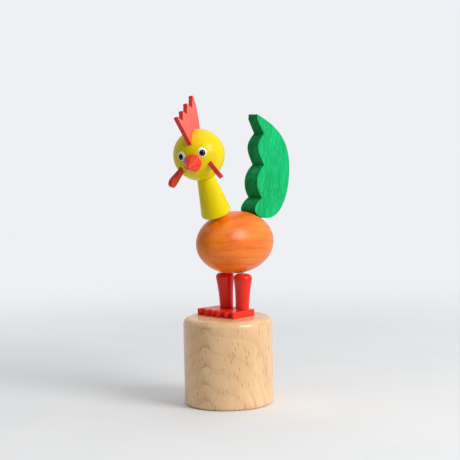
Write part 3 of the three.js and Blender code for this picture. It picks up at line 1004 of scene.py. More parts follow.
@dataclass
class Drum:
    """The beech drum, with the button that slides in it and the spring above the button."""

    radius: float = 20.0
    wall: float = 4.5
    roof: float = 11.0
    top_round: float = 3.0
    bottom_round: float = 1.6
    bore_chamfer: float = 0.4
    chamber_radius: float = 10.45
    chamber_shoulder: float = 20.0
    slide_room: float = 0.3
    button_edge: float = 0.8
    cord_hole: float = 1.0
    cord_apart: float = 5.0
    cord_back: float = 4.4
    knot_pocket: float = 1.7
    knot_pocket_top: float = 5.4
    mean_radius: float = 9.0
    wire_radius: float = 0.45
    turns: int = 8
    points_per_turn: int = 40
    end_pitch: float = 2.04  # of the closed end turns, in radii of the wire
    pith: tuple[float, float, float] = (-1.6, 5.8, 20.0)  # of the tree, close to the drum's own axis
    button_pith: tuple[float, float, float] = (22.0, 31.0, 0.0)

    def cord_place(self, side: Side) -> Vector:
        """Where a side's cord runs up through the drum, at height 0."""
        return Vector((side.value * self.cord_apart, self.cord_back, 0))

    def turn_drum(self) -> bpy.types.Object:
        """Turns the drum and drills its two cord holes.

        Returns:
            The drum.
        """
        ceiling = DRUM_TOP - self.roof
        bore = self.radius - self.wall
        profile = [
            (0, ceiling),
            (self.chamber_radius, ceiling),
            (self.chamber_radius, self.chamber_shoulder),
            (bore, self.chamber_shoulder),
            (bore, self.bore_chamfer),
            (bore + self.bore_chamfer, 0),
            *arc((self.radius - self.bottom_round, self.bottom_round), self.bottom_round, -90, 0, 10),
            *arc((self.radius - self.top_round, DRUM_TOP - self.top_round), self.top_round, 0, 90, 14),
            (0, DRUM_TOP),
        ]
        drum = turn_on_lathe("turned_drum", profile, 128)
        ends = UP * (ceiling - OVERSHOOT), UP * (DRUM_TOP + OVERSHOOT)
        for side in Side:
            start, end = (self.cord_place(side) + z for z in ends)
            cut(drum, drill(self.cord_hole, start, end))
        smooth(drum)
        dress(drum, BEECH.material(Grain.UPRIGHT, self.pith))
        return drum

    def turn_button(self) -> bpy.types.Object:
        """Turns the button, with a pocket for each knot.

        Returns:
            The button.
        """
        radius = self.radius - self.wall - self.slide_room
        edge = self.button_edge
        profile = [
            (0, BUTTON_LOW),
            *arc((radius - edge, BUTTON_LOW + edge), edge, -90, 0, 6),
            *arc((radius - edge, BUTTON_TOP - edge), edge, 0, 90, 6),
            (0, BUTTON_TOP),
        ]
        button = turn_on_lathe("turned_press_button", profile)
        for side in Side:
            axis = self.cord_place(side)
            heights = (0, self.knot_pocket_top, BUTTON_TOP + OVERSHOOT)
            below, pocket, above = (axis + UP * height for height in heights)
            cut(button, drill(self.knot_pocket, below, pocket), drill(self.cord_hole, below, above))
        smooth(button)
        dress(button, BEECH.material(Grain.UPRIGHT, self.button_pith))
        return button

    def wind_spring(self) -> bpy.types.Object:
        """Winds the compression spring, whose end turns lie closed.

        Returns:
            The spring.
        """
        low, high = (corner.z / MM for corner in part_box("return_spring"))
        low, high = low + self.wire_radius, high - self.wire_radius
        closed = self.end_pitch * self.wire_radius
        pitch = (high - low - 2 * closed) / (self.turns - 2)
        points = []
        for step in range(self.turns * self.points_per_turn + 1):
            turn = step / self.points_per_turn
            ends = min(turn, 1) + max(turn - self.turns + 1, 0)
            angle = FULL_TURN * turn
            height = low + closed * ends + pitch * (turn - ends)
            points.append(Vector((self.mean_radius * cos(angle), self.mean_radius * sin(angle), height)))
        spring = wire("wound_return_spring", [points], self.wire_radius)
        dress(spring, DrawnSteel().material())
        return spring

    def build(self) -> None:
        """Makes the drum, the button and the spring."""
        hand_over(self.turn_drum(), "base", "base_drum")
        hand_over(self.turn_button(), "button", "press_button")
        spring = self.wind_spring()
        hand_over(spring, "base", "return_spring")
        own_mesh(spring)


@dataclass
class Legs:
    """Two sawn feet and two turned legs, dipped in red enamel."""

    foot_width: float = 10.4
    foot_length: float = 14.5
    toe_out: float = 3.5
    toes: int = 3
    notch: float = 2.7
    toe_tip: float = 1.1
    eased: float = 0.22
    length: float = 15.8
    foot_radius: float = 3.05
    calf: float = 7.1
    hip_radius: float = 4.15
    shoulder: float = 2.0
    foot_apart: float = 5.0
    hip_apart: float = 5.8
    back: float = 4.4
    cord_hole: float = 1.0
    gap_above_foot: float = 0.3
    sole_ease: float = 0.3

    def foot_outline(self) -> Profile:
        """A foot's outline about its own middle, toes towards -Y.

        Returns:
            The outline's points.
        """
        half, end = self.foot_width / 2, self.foot_length / 2
        pitch = (self.foot_width - self.toe_tip) / (self.toes - 1)
        outline = [(half, end), (-half, end)]
        for toe in range(self.toes):
            start = -half + toe * pitch
            outline += [(start, -end), (start + self.toe_tip, -end)]
            if toe < self.toes - 1:
                outline.append((start + (self.toe_tip + pitch) / 2, -end + self.notch))
        return outline

    def foot_end(self, side: Side) -> Vector:
        """The middle of a leg's lower end."""
        return Vector((side.value * self.foot_apart, self.back, FOOT_TOP + self.gap_above_foot))

    def axis(self, side: Side) -> Vector:
        """The direction that a leg runs up in."""
        out = self.hip_apart - self.foot_apart
        return Vector((side.value * out, 0, sqrt(self.length**2 - out**2))).normalized()

    def hip(self, side: Side) -> Vector:
        """The middle of a leg's upper end."""
        return self.foot_end(side) + self.axis(side) * self.length

    def saw_foot(self, side: Side) -> bpy.types.Object:
        """Saws one foot.

        Args:
            side: the foot's side.

        Returns:
            The foot.
        """
        foot = saw_plate(f"sawn_{side.label}_foot", self.foot_outline(), FOOT_TOP - DRUM_TOP)
        turn = Matrix.Rotation(radians(side.value * self.toe_out), 4, "Z")
        place(foot, moved(*middle_of(f"{side.label}_foot")) @ turn)
        hole = self.foot_end(side).xy
        ends = (Vector((*hole, z)) for z in (DRUM_TOP - OVERSHOOT, FOOT_TOP + OVERSHOOT))
        cut(foot, drill(self.cord_hole, *ends))
        ease_edges(foot, self.eased)
        dress(foot, RED.material(Grain.FORE_AND_AFT))
        return foot

    def turn_leg(self, side: Side) -> bpy.types.Object:
        """Turns one leg, bored for its cord.

        Args:
            side: the leg's side.

        Returns:
            The leg.
        """
        foot, ease = SEAM - self.gap_above_foot, self.sole_ease
        shoulder = (self.hip_radius - self.shoulder, self.length - self.shoulder)
        side_line = [
            (self.foot_radius, foot + ease), (self.foot_radius, self.calf), (self.hip_radius, shoulder[1]),
        ]
        profile = [
            (self.cord_hole, foot),
            *arc((self.foot_radius - ease, foot + ease), ease, -90, 0, 4),
            *bezier(side_line, 16),
            *arc(shoulder, self.shoulder, 0, 90, 10)[1:],
            (self.cord_hole, self.length),
            (self.cord_hole, foot),
        ]
        leg = turn_on_lathe(f"turned_{side.label}_leg", profile, 64)
        place(leg, moved(*self.foot_end(side)) @ aimed(self.axis(side)))
        dress(leg, LEG_RED.material())
        return leg

    def build(self) -> None:
        """Makes both feet and both legs."""
        for side in Side:
            label = side.label
            hand_over(self.saw_foot(side), "base", f"{label}_foot")
            hand_over(self.turn_leg(side), f"{label}_leg", f"{label}_leg")


@dataclass
class Body:
    """The egg-shaped body, turned from front to back and stained orange, with its cord channels."""

    half_length: float = 20.3
    radius: float = 14.0
    cord_hole: float = 1.0
    bend: float = 8.4
    neck_forward: float = 10.6
    neck_lean: float = 20.5
    tail_behind: float = 12.2
    tail_lean: float = 18.0
    hole_depth: float = 5.0  # to which the cord holes are drilled from the surface
    drill_lead: float = 2.0
    pith: tuple[float, float, float] = (9.0, 0.0, 88.0)

    def egg(self, name: str, growth: float = 0.0) -> bpy.types.Object:
        """A ball stretched from front to back, in place.

        Args:
            name: its name.
            growth: how far its surface stands outside the body's.

        Returns:
            The egg.
        """
        clear_selection()
        bpy.ops.mesh.primitive_uv_sphere_add(segments=128, ring_count=80, radius=MM)
        egg = bpy.context.object
        egg.name = name
        bpy.ops.object.mode_set(mode="EDIT")
        round_radius, long_radius = self.radius + growth, self.half_length + growth
        bpy.ops.transform.resize(value=(round_radius, round_radius, long_radius))
        bpy.ops.object.mode_set(mode="OBJECT")
        lying = Matrix.Rotation(radians(90), 4, "X")
        return place(egg, moved(*BODY_CENTRE) @ lying)

    def lean(self, angle: float) -> Vector:
        """The direction that leans forward by an angle from straight up."""
        return Vector((0, -sin(radians(angle)), cos(radians(angle))))

    def seat(self, behind: float) -> Vector:
        """The point of the back's ridge that is so far behind the body's centre."""
        height = self.radius * sqrt(1 - (behind / self.half_length) ** 2)
        return BODY_CENTRE + Vector((0, behind, height))

    def entry(self, hip: Vector, axis: Vector) -> Vector:
        """Where a leg's axis meets the body's underside.

        Args:
            hip: a point on the axis, in millimetres.
            axis: its direction.

        Returns:
            The point.
        """
        shrink = Vector((1 / self.radius, 1 / self.half_length, 1 / self.radius))
        start, step = (hip - BODY_CENTRE) * shrink, axis * shrink
        a, b, c = step.dot(step), start.dot(step), start.dot(start) - 1
        return hip + axis * (-(b + sqrt(b * b - a * c)) / a)

    def cord_line(self, start: Vector, axis: Vector, seat: Vector, way_out: Vector) -> list[Vector]:
        """The smooth line of a cord through the body.

        Args:
            start: where it comes in.
            axis: the direction that it comes in by.
            seat: where it goes out.
            way_out: the direction that it goes out by.

        Returns:
            The line's points.
        """
        control = [start, start + axis * self.bend, seat - way_out * self.bend, seat]
        return [start, *(Vector(p) for p in bezier(control, 24))]

    def build(self, legs: Legs) -> None:
        """Makes the body and drills where the cords go in and out.

        Args:
            legs: the legs that it rests on.
        """
        body = self.egg("turned_body")
        body.data.name = "turned_body"
        for side in Side:
            axis = legs.axis(side)
            mouth = self.entry(legs.hip(side), axis)
            cut(body, drill(self.cord_hole, mouth - axis * self.drill_lead, mouth + axis * self.hole_depth))
        for behind, lean in ((-self.neck_forward, self.neck_lean), (self.tail_behind, -self.tail_lean)):
            seat, out = self.seat(behind), self.lean(lean)
            cut(body, drill(self.cord_hole, seat - out * self.hole_depth, seat + out * self.drill_lead))
        smooth(body)
        dress(body, ORANGE_STAIN.material(Grain.FORE_AND_AFT, self.pith))
        hand_over(body, "body", "body")


@dataclass
class Neck:
    """The turned neck: a domed foot on the body, and a cup for the head at its top."""

    length: float = 18.9
    foot_radius: float = 6.7
    top_radius: float = 3.9
    edge: float = 1.4
    dome: float = 1.1
    cord_hole: float = 1.0
    head_radius: float = 11.3
    cup_room: float = 0.3
    close_fit: float = 0.03  # the room shown between the head and its cup
    lip: Profile = field(  # the cup's eased rim, from the top radius outwards and from the rim upwards
        default_factory=lambda: [(0.03, -0.15), (0.0, -0.04), (-0.05, 0.0)]
    )

    def foot(self) -> Vector:
        """The lowest point of the neck's foot, on its axis.

        Returns:
            The point, in millimetres.
        """
        ball = self.head_radius + self.cup_room
        height = self.length + sqrt(ball**2 - self.top_radius**2)
        return HEAD_CENTRE - NECK_AXIS * height

    def build(self) -> None:
        """Turns the neck."""
        rise = (HEAD_CENTRE - self.foot()).length
        ball = self.head_radius + self.close_fit
        rim = self.foot_radius - self.edge
        sole = [(r, self.dome * (r / rim) ** 2 - SEAM) for r in (self.cord_hole, 1.8, 2.7, 3.6, 4.5, rim)]
        rim_radius = self.top_radius + self.lip[-1][0]
        cup = [(r, rise - sqrt(ball**2 - r * r)) for r in (rim_radius, 3.6, MOUTH_RADIUS)]
        cup.append((self.cord_hole, rise - ball - MOUTH_DEPTH))
        profile = [
            *sole,
            *arc((rim, self.dome + self.edge), self.edge, -88, 5, 10),
            *((self.top_radius + out, cup[0][1] + up) for out, up in self.lip[:-1]),
            *cup,
            sole[0],
        ]
        neck = turn_on_lathe("turned_neck", profile, 80)
        place(neck, moved(*self.foot()) @ aimed(NECK_AXIS))
        dress(neck, YELLOW.material(Grain.NECKWARDS))
        hand_over(neck, "neck", "neck")


@dataclass
class Head:
    """The ball of the head with its comb, beak, wattles and painted eyes."""

    radius: float = 11.3
    turn: float = 30.5
    cord_hole: float = 1.0
    hole_below_slot: float = 3.0
    slot_floor: float = 7.5
    comb_thickness: float = 1.9
    comb_foot: tuple[float, float] = (8.4, -8.2)
    comb_tip_width: float = 1.5
    comb_tips: Profile = field(
        default_factory=lambda: [(15.1, 22.8), (6.8, 22.7), (-1.6, 23.3), (-11.9, 23.5)]
    )
    comb_notches: Profile = field(default_factory=lambda: [(10.2, 19.3), (2.5, 19.6), (-6.6, 19.5)])
    comb_back: Profile = field(default_factory=lambda: [(-13.6, 18.6), (-11.6, 13.2)])
    beak_elevation: float = 2.0
    beak_radius: float = 3.9
    beak_reach: float = 19.0
    beak_cheek: float = 1.5
    cheek_rise: float = 0.85  # of the cheek's radius, from the beak's back to the middle of its arc
    beak_slope: float = 27.0  # degrees on both arcs where the cone's side meets them
    beak_tip: float = 0.7
    peg_radius: float = 1.6
    peg_depth: float = 4.0
    wattle_radius: float = 2.5
    wattle_root_width: float = 2.6
    wattle_shoulder: float = 1.3
    wattle_aside: tuple[float, float] = (-1.4, -0.2)  # of the root and of the end
    wattle_exposed: float = 9.6
    wattle_embedded: float = 2.4
    wattle_thickness: float = 1.9
    wattle_root: tuple[float, float] = (35.0, -7.0)  # azimuth and elevation on the head
    wattle_hang: tuple[float, float, float] = (42.0, -36.0, -30.6)  # azimuth, elevation, roll
    eye: tuple[float, float] = (27.0, 19.7)
    eye_radius: float = 2.0
    eye_crown: float = 0.3
    pupil_radius: float = 1.33
    pupil_crown: float = 0.4
    pupil_drop: float = 1.8  # degrees that it sits below the white's middle
    dab_rim: float = 0.12  # how thick a dab of enamel is at its rim
    plate_ease: float = 0.2
    tight: float = 0.04  # mm of glue on each side of a piece in its slot

    @property
    def frame(self) -> Matrix:
        """The head's own frame, at its centre and turned about the neck."""
        spin = Matrix.Rotation(radians(self.turn), 4, "Z")
        return moved(*HEAD_CENTRE) @ aimed(NECK_AXIS) @ spin

    def comb_outline(self) -> Profile:
        """The comb's outline, ahead of the head's centre and above it.

        Returns:
            The outline's points.
        """
        foot = self.slot_floor + self.tight
        half = self.comb_tip_width / 2
        outline = [(self.comb_foot[1], foot), (self.comb_foot[0], foot)]
        for i, (ahead, height) in enumerate(self.comb_tips):
            outline += arc((ahead, height - half), half, 0, 180, 6)
            if i < len(self.comb_notches):
                outline.append(self.comb_notches[i])
        start = outline[-1]
        return outline + bezier([start, *self.comb_back, outline[0]], 14)[:-1]

    def wattle_outline(self) -> Profile:
        """A wattle's outline, along its length from the head's surface.

        Returns:
            The outline's points.
        """
        root, end = self.wattle_aside
        half = self.wattle_root_width / 2
        return [
            (root - half, -self.wattle_embedded),
            (root + half, -self.wattle_embedded),
            (root + half, self.wattle_shoulder),
            *arc((end, self.wattle_exposed - self.wattle_radius), self.wattle_radius, 0, 180, 18),
            (root - half, self.wattle_shoulder),
        ]

    def wattle_frame(self, side: Side) -> Matrix:
        """Where a wattle hangs: its width along X, its length along Y, its root on the surface.

        Args:
            side: the wattle's side.

        Returns:
            The frame within the head's own.
        """
        azimuth, elevation, roll = self.wattle_hang
        along = facing(side.value * azimuth, elevation)
        rising = facing(side.value * azimuth, elevation + 90)
        sideways = along.cross(rising) * side.value
        across = rising * cos(radians(roll)) - sideways * sin(radians(roll))
        turn = Matrix((across, along, across.cross(along))).transposed().to_4x4()
        root = facing(side.value * self.wattle_root[0], self.wattle_root[1]) * self.radius
        return moved(*root) @ turn

    def countersink(self) -> bpy.types.Object:
        """A cone to cut the cord's mouth with, which is as wide as the neck's at the ball's surface.

        Returns:
            The cone, in the head's own frame.
        """
        flare = (MOUTH_RADIUS - self.cord_hole) / MOUTH_DEPTH
        low, tip = -self.radius - OVERSHOOT, MOUTH_DEPTH - self.radius
        wide = MOUTH_RADIUS + flare * OVERSHOOT
        return turn_on_lathe("countersink", [(0, low), (wide, low), (self.cord_hole, tip), (0, tip)], 48)

    def shape_head(self) -> bpy.types.Object:
        """Turns the ball and cuts its slots and holes.

        Returns:
            The head.
        """
        clear_selection()
        bpy.ops.mesh.primitive_uv_sphere_add(segments=128, ring_count=80, radius=self.radius * MM)
        head = bpy.context.object
        head.name = head.data.name = "turned_head"
        room = self.comb_thickness + 2 * self.tight
        height = self.radius + OVERSHOOT - self.slot_floor
        slot = Vector((room, 2 * (self.radius + OVERSHOOT), height))
        cut(head, block(slot, moved(0, 0, self.slot_floor + height / 2)))
        depth, reach = self.wattle_embedded + self.tight, self.wattle_shoulder
        width = self.wattle_root_width + 2 * self.tight
        size = Vector((width, depth + reach, self.wattle_thickness + 2 * self.tight))
        middle = moved(self.wattle_aside[0], (reach - depth) / 2, 0)
        for side in Side:
            cut(head, block(size, self.wattle_frame(side) @ middle))
        hole_top = self.slot_floor - self.hole_below_slot
        cut(head, drill(self.cord_hole, -UP * (self.radius + OVERSHOOT), UP * hole_top))
        cut(head, self.countersink())
        smooth(head)
        place(head, self.frame)
        dress(head, YELLOW.material(Grain.NECKWARDS))
        return head

    def saw_comb(self) -> bpy.types.Object:
        """Saws the comb, whose edges are a darker red than its sides, partly as painted shade.

        Returns:
            The comb.
        """
        comb = saw_plate("sawn_comb", self.comb_outline(), self.comb_thickness, self.plate_ease)
        dress_plate(comb, CORAL.material(Grain.NECKWARDS), CRIMSON_EDGE_AND_SHADE.material(), across=2)
        upright = Matrix(((0, 0, -1), (-1, 0, 0), (0, 1, 0))).to_4x4()
        return place(comb, self.frame @ upright)

    def turn_beak(self) -> bpy.types.Object:
        """Turns the beak: a cone with a round cheek, on a peg in the head.

        Returns:
            The beak.
        """
        ball = self.radius + SEAM
        back = [(r, sqrt(ball**2 - r * r)) for r in (self.peg_radius, 2.4, 3.2, 3.7)]
        root = (self.beak_radius - self.beak_cheek, back[-1][1] + self.beak_cheek * self.cheek_rise)
        profile = [
            (0, self.radius - self.peg_depth),
            (self.peg_radius, self.radius - self.peg_depth),
            *back,
            *arc(root, self.beak_cheek, -42, self.beak_slope, 10),
            *arc((0, self.beak_reach - self.beak_tip), self.beak_tip, self.beak_slope, 90, 8)[:-1],
            (0, self.beak_reach),
        ]
        beak = turn_on_lathe("turned_beak", profile, 64)
        place(beak, self.frame @ aimed(facing(0, self.beak_elevation)))
        dress(beak, BEAK_RED.material())
        return beak

    def saw_wattle(self, side: Side) -> bpy.types.Object:
        """Saws one wattle.

        Args:
            side: the wattle's side.

        Returns:
            The wattle.
        """
        name = f"sawn_{side.label}_wattle"
        wattle = saw_plate(name, self.wattle_outline(), self.wattle_thickness, self.plate_ease)
        # the edges' darker red is partly painted shade
        dress_plate(wattle, WATTLE_RED.material(), CRIMSON_EDGE_AND_SHADE.material(), across=2)
        return place(wattle, self.frame @ self.wattle_frame(side))

    def dab(
        self, name: str, radius: float, base: float, crown: float, elevation: float, side: Side
    ) -> bpy.types.Object:
        """Lays a dab of enamel on the head: a shallow dome whose back follows the ball.

        Args:
            name: the dab's name.
            radius: its radius.
            base: how far above the ball its back lies.
            crown: how much it rises to its middle.
            elevation: its middle's elevation on the head.
            side: its side.

        Returns:
            The dab.
        """
        ball = self.radius + base
        rim = self.dab_rim
        shares = [i / 8 for i in range(9)]
        back = [(radius * s, sqrt(ball**2 - (radius * s) ** 2)) for s in shares]
        front = [(r - rim * s**6 * 0.5, z + rim + crown * (1 - s * s)) for (r, z), s in zip(back, shares)]
        profile = back + [(radius + 0.02, back[-1][1] + rim * 0.5)] + front[::-1]
        dab = turn_on_lathe(name, profile, 48)
        return place(dab, self.frame @ aimed(facing(side.value * self.eye[0], elevation)))

    def build(self) -> None:
        """Makes the head and all that is fixed to it."""
        hand_over(self.shape_head(), "head", "head")
        hand_over(self.saw_comb(), "head", "comb")
        hand_over(self.turn_beak(), "head", "beak")
        white, black = EYE_WHITE.material(), EYE_BLACK.material()
        for side in Side:
            label = side.label
            hand_over(self.saw_wattle(side), "head", f"{label}_wattle")
            name = f"painted_{label}_eye_white"
            eye = self.dab(name, self.eye_radius, 0.0, self.eye_crown, self.eye[1], side)
            dress(eye, white)
            hand_over(eye, "head", f"{label}_eye_white")
            drop = self.eye[1] - self.pupil_drop
            name = f"painted_{label}_pupil"
            pupil = self.dab(name, self.pupil_radius, self.eye_crown, self.pupil_crown, drop, side)
            dress(pupil, black)
            hand_over(pupil, "head", f"{label}_pupil")


@dataclass
class Tail:
    """The scalloped tail: a sawn plate that thickens downwards, seated on the body's back."""

    tip_thickness: float = 5.6
    foot_thickness: float = 9.4
    tip: Profile = field(default_factory=lambda: [(13, 56.9), (12.8, 54.6)])
    notches: Profile = field(default_factory=lambda: [(16.6, 48.2), (15.8, 34), (13.4, 19.3)])
    lobes: list[Profile] = field(
        default_factory=lambda: [
            [(11.2, 43.2), (11.2, 41.9)],
            [(9.3, 29.8), (9.8, 23.6)],
            [(7.9, 16.4), (7.2, 13.2)],
        ]
    )
    sole: Profile = field(default_factory=lambda: [(11, 11.2), (14.6, 9.6), (18.6, 10)])
    rearmost: tuple[float, float] = (32.4, 34.0)
    back_below: Profile = field(default_factory=lambda: [(27, 11.5), (32.4, 22)])
    back_above: Profile = field(default_factory=lambda: [(32.4, 44), (27.3, 50.5)])
    cord_depth: float = 14.0
    drill_lead: float = 3.0
    eased: float = 0.35
    pith: tuple[float, float, float] = (26.0, 40.0, 60.0)

    def outline(self) -> Profile:
        """The outline, in distances behind the body's centre and above it.

        Returns:
            The outline's points.
        """
        points = [*self.tip, self.notches[0]]
        for lobe, notch in zip(self.lobes, [*self.notches[1:], self.sole[0]]):
            points += bezier([points[-1], *lobe, notch], 16)
        points += bezier([points[-1], *self.sole[1:]], 8)
        points += bezier([points[-1], *self.back_below, self.rearmost], 22)
        return points + bezier([points[-1], *self.back_above, self.tip[0]], 22)[:-1]

    def build(self, body: Body) -> None:
        """Saws the tail and cuts its saddle.

        Args:
            body: the body that it sits on.
        """
        tail = saw_plate("sawn_tail", self.outline(), 1.0)
        low, high = self.sole[1][1], self.tip[0][1]
        for vertex in tail.data.vertices:
            share = (vertex.co.y / MM - low) / (high - low)
            vertex.co.z *= self.foot_thickness + (self.tip_thickness - self.foot_thickness) * share
        upright = Matrix(((0, 0, 1), (1, 0, 0), (0, 1, 0))).to_4x4()
        place(tail, moved(*BODY_CENTRE) @ upright)
        seat, out = body.seat(body.tail_behind), body.lean(-body.tail_lean)
        cut(tail, body.egg("saddle_cutter", SEAM))
        cut(tail, drill(body.cord_hole, seat - out * self.drill_lead, seat + out * self.cord_depth))
        ease_edges(tail, self.eased)
        # the edges' darker green is partly painted shade
        sides, edges = (stain.material(Grain.TAILWARDS, self.pith) for stain in (GREEN_STAIN, GREEN_EDGE_AND_SHADE))
        dress_plate(tail, sides, edges, across=0)
        hand_over(tail, "tail", "tail")


@dataclass
class Cords:
    """Two waxed cotton cords: one up the right leg to the head, one up the left leg to the tail."""

    radius: float = 0.5
    plies: int = 3
    lay: float = 2.8  # mm in which a ply goes once round
    steps_per_lay: int = 12
    ply_offset: float = 0.53  # of the cord's radius, as is the next
    ply_radius: float = 0.52
    knot_radius: float = 1.35
    knot_strand: float = 0.42
    knot_points: int = 96
    knot_height: float = 1.3  # times a plain trefoil's
    knot_tuck: float = 0.6  # of the knot's radius, that the cord reaches into it
    lap: float = 1.2  # mm that a bridging length reaches into the pieces on both sides
    bend_steps: int = 12
    seat_gap: float = 0.3  # mm above the body's seat where the cord in the tail begins
    seat_bend: tuple[float, float] = (-0.2, 0.4)  # mm from the seat, where that cord's bend starts and ends

    def strands(self, line: Sequence[Vector]) -> list[list[Vector]]:
        """Twists plies about a line.

        Args:
            line: the cord's centre line.

        Returns:
            Each ply's own line.
        """
        offset = self.radius * self.ply_offset
        step = self.lay / self.steps_per_lay
        points, tangents = [], []
        for here, there in zip(line, line[1:]):
            count = max(1, round((there - here).length / step))
            points += [here.lerp(there, i / count) for i in range(count)]
            tangents += [(there - here).normalized()] * count
        points.append(line[-1])
        tangents.append(tangents[-1])
        plies = [[] for _ in range(self.plies)]
        run = 0.0
        for i, (point, tangent) in enumerate(zip(points, tangents)):
            if i:
                run += (point - points[i - 1]).length
            side = (Vector((1, 0, 0)) - tangent * tangent.x).normalized()
            other = tangent.cross(side)
            for ply in range(self.plies):
                angle = FULL_TURN * (run / self.lay + ply / self.plies)
                plies[ply].append(point + (side * cos(angle) + other * sin(angle)) * offset)
        return plies

    def length(self, name: str, line: Sequence[Vector]) -> bpy.types.Object:
        """Makes one length of cord.

        Args:
            name: its name.
            line: its centre line, in millimetres.

        Returns:
            The cord.
        """
        cord = wire(name, self.strands(line), self.radius * self.ply_radius)
        dress(cord, COTTON)
        return cord

    def knot(self, name: str, centre: Vector, axis: Vector) -> bpy.types.Object:
        """Ties an overhand knot.

        Args:
            name: its name.
            centre: its middle, in millimetres.
            axis: the direction of the cord that it stops.

        Returns:
            The knot.
        """
        size = (self.knot_radius - self.knot_strand) / 3  # a trefoil's formula reaches out to 3
        loop = []
        for i in range(self.knot_points):
            t = FULL_TURN * i / self.knot_points
            x, y, z = sin(t) + 2 * sin(2 * t), cos(t) - 2 * cos(2 * t), -sin(3 * t) * self.knot_height
            loop.append(Vector((x, y, z)) * size)
        knot = wire(name, [loop], self.knot_strand, closed=True)
        place(knot, moved(*centre) @ aimed(axis))
        dress(knot, COTTON)
        return knot

    def bridge(self, name: str, bodies: tuple[str, str], start: Vector, end: Vector) -> None:
        """Makes a short straight length of cord that spans a joint.

        Args:
            name: its name.
            bodies: the bodies on either side of the joint, named in the log.
            start: where it leaves the first piece.
            end: where it enters the second.
        """
        out = (end - start).normalized()
        first, whole = start - out * self.lap, end - start + out * 2 * self.lap
        line = [first + whole * (i / self.bend_steps) for i in range(self.bend_steps + 1)]
        piece = self.length(name, line)
        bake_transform(piece)
        log.info("%s bends from %s to %s", name, *bodies)

    def build(self, legs: Legs, body: Body, neck: Neck, head: Head, tail: Tail) -> None:
        """Makes every length of both cords, and their knots.

        Args:
            legs: the legs that they run up.
            body: the body that they cross.
            neck: the neck, on the right leg's cord.
            head: the head that this cord ends in.
            tail: the tail that the left leg's cord ends in.
        """
        cord_names = {Side.LEFT: "tail_cord", Side.RIGHT: "neck_cord"}
        seats = {
            Side.LEFT: (body.seat(body.tail_behind), body.lean(-body.tail_lean)),
            Side.RIGHT: (body.seat(-body.neck_forward), body.lean(body.neck_lean)),
        }
        for side, cord in cord_names.items():
            label = side.label
            foot, axis, hip = legs.foot_end(side), legs.axis(side), legs.hip(side)
            mouth = body.entry(hip, axis)
            low, high = (corner.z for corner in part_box(f"{cord}_in_drum"))

            knot_centre = middle_of(f"{cord}_knot")
            knot = self.knot(f"tied_{cord}_knot", knot_centre, UP)
            hand_over(knot, "button", f"{cord}_knot")

            upright = [Vector((foot.x, foot.y, z / MM)) for z in (low, high)]
            upright[0].z -= self.knot_radius * self.knot_tuck
            in_drum = self.length(f"laid_{cord}_in_drum", upright)
            hand_over(in_drum, "base", f"{cord}_in_drum")
            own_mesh(in_drum)

            in_leg = self.length(f"laid_{cord}_in_leg", [foot, hip])
            hand_over(in_leg, f"{label}_leg", f"{cord}_in_leg")
            self.bridge(f"{cord}_at_foot", ("base", f"{label}_leg"), Vector((*foot.xy, FOOT_TOP)), foot)

            seat, out = seats[side]
            in_body = self.length(f"laid_{cord}_in_body", body.cord_line(mouth, axis, seat, out))
            hand_over(in_body, "body", f"{cord}_in_body")
            # The legs swing as one, so the left leg, which the body is hinged to, stands in for both.
            self.bridge(f"{cord}_at_hip", ("left_leg", "body"), hip, mouth)

        seat, out = seats[Side.LEFT]
        ends = [seat + out * reach for reach in (self.seat_gap, tail.cord_depth)]
        in_tail = self.length("laid_tail_cord_in_tail", ends)
        hand_over(in_tail, "tail", "tail_cord_in_tail")
        self.bridge("tail_cord_at_seat", ("body", "tail"), *(seat + out * reach for reach in self.seat_bend))

        seat, _ = seats[Side.RIGHT]
        foot = neck.foot()
        top = HEAD_CENTRE - NECK_AXIS * head.radius
        mouths = top - NECK_AXIS * MOUTH_DEPTH, top + NECK_AXIS * MOUTH_DEPTH
        in_neck = self.length("laid_neck_cord_in_neck", [foot, mouths[0]])
        hand_over(in_neck, "neck", "neck_cord_in_neck")
        self.bridge("neck_cord_at_seat", ("body", "neck"), seat, foot)

        knot_centre = middle_of("head_knot")
        in_head = self.length("laid_neck_cord_in_head", [mouths[1], knot_centre])
        hand_over(in_head, "head_pivot", "neck_cord_in_head")
        self.bridge("neck_cord_at_head", ("neck", "head_pivot"), *mouths)
        hand_over(self.knot("tied_head_knot", knot_centre, NECK_AXIS), "head", "head_knot")


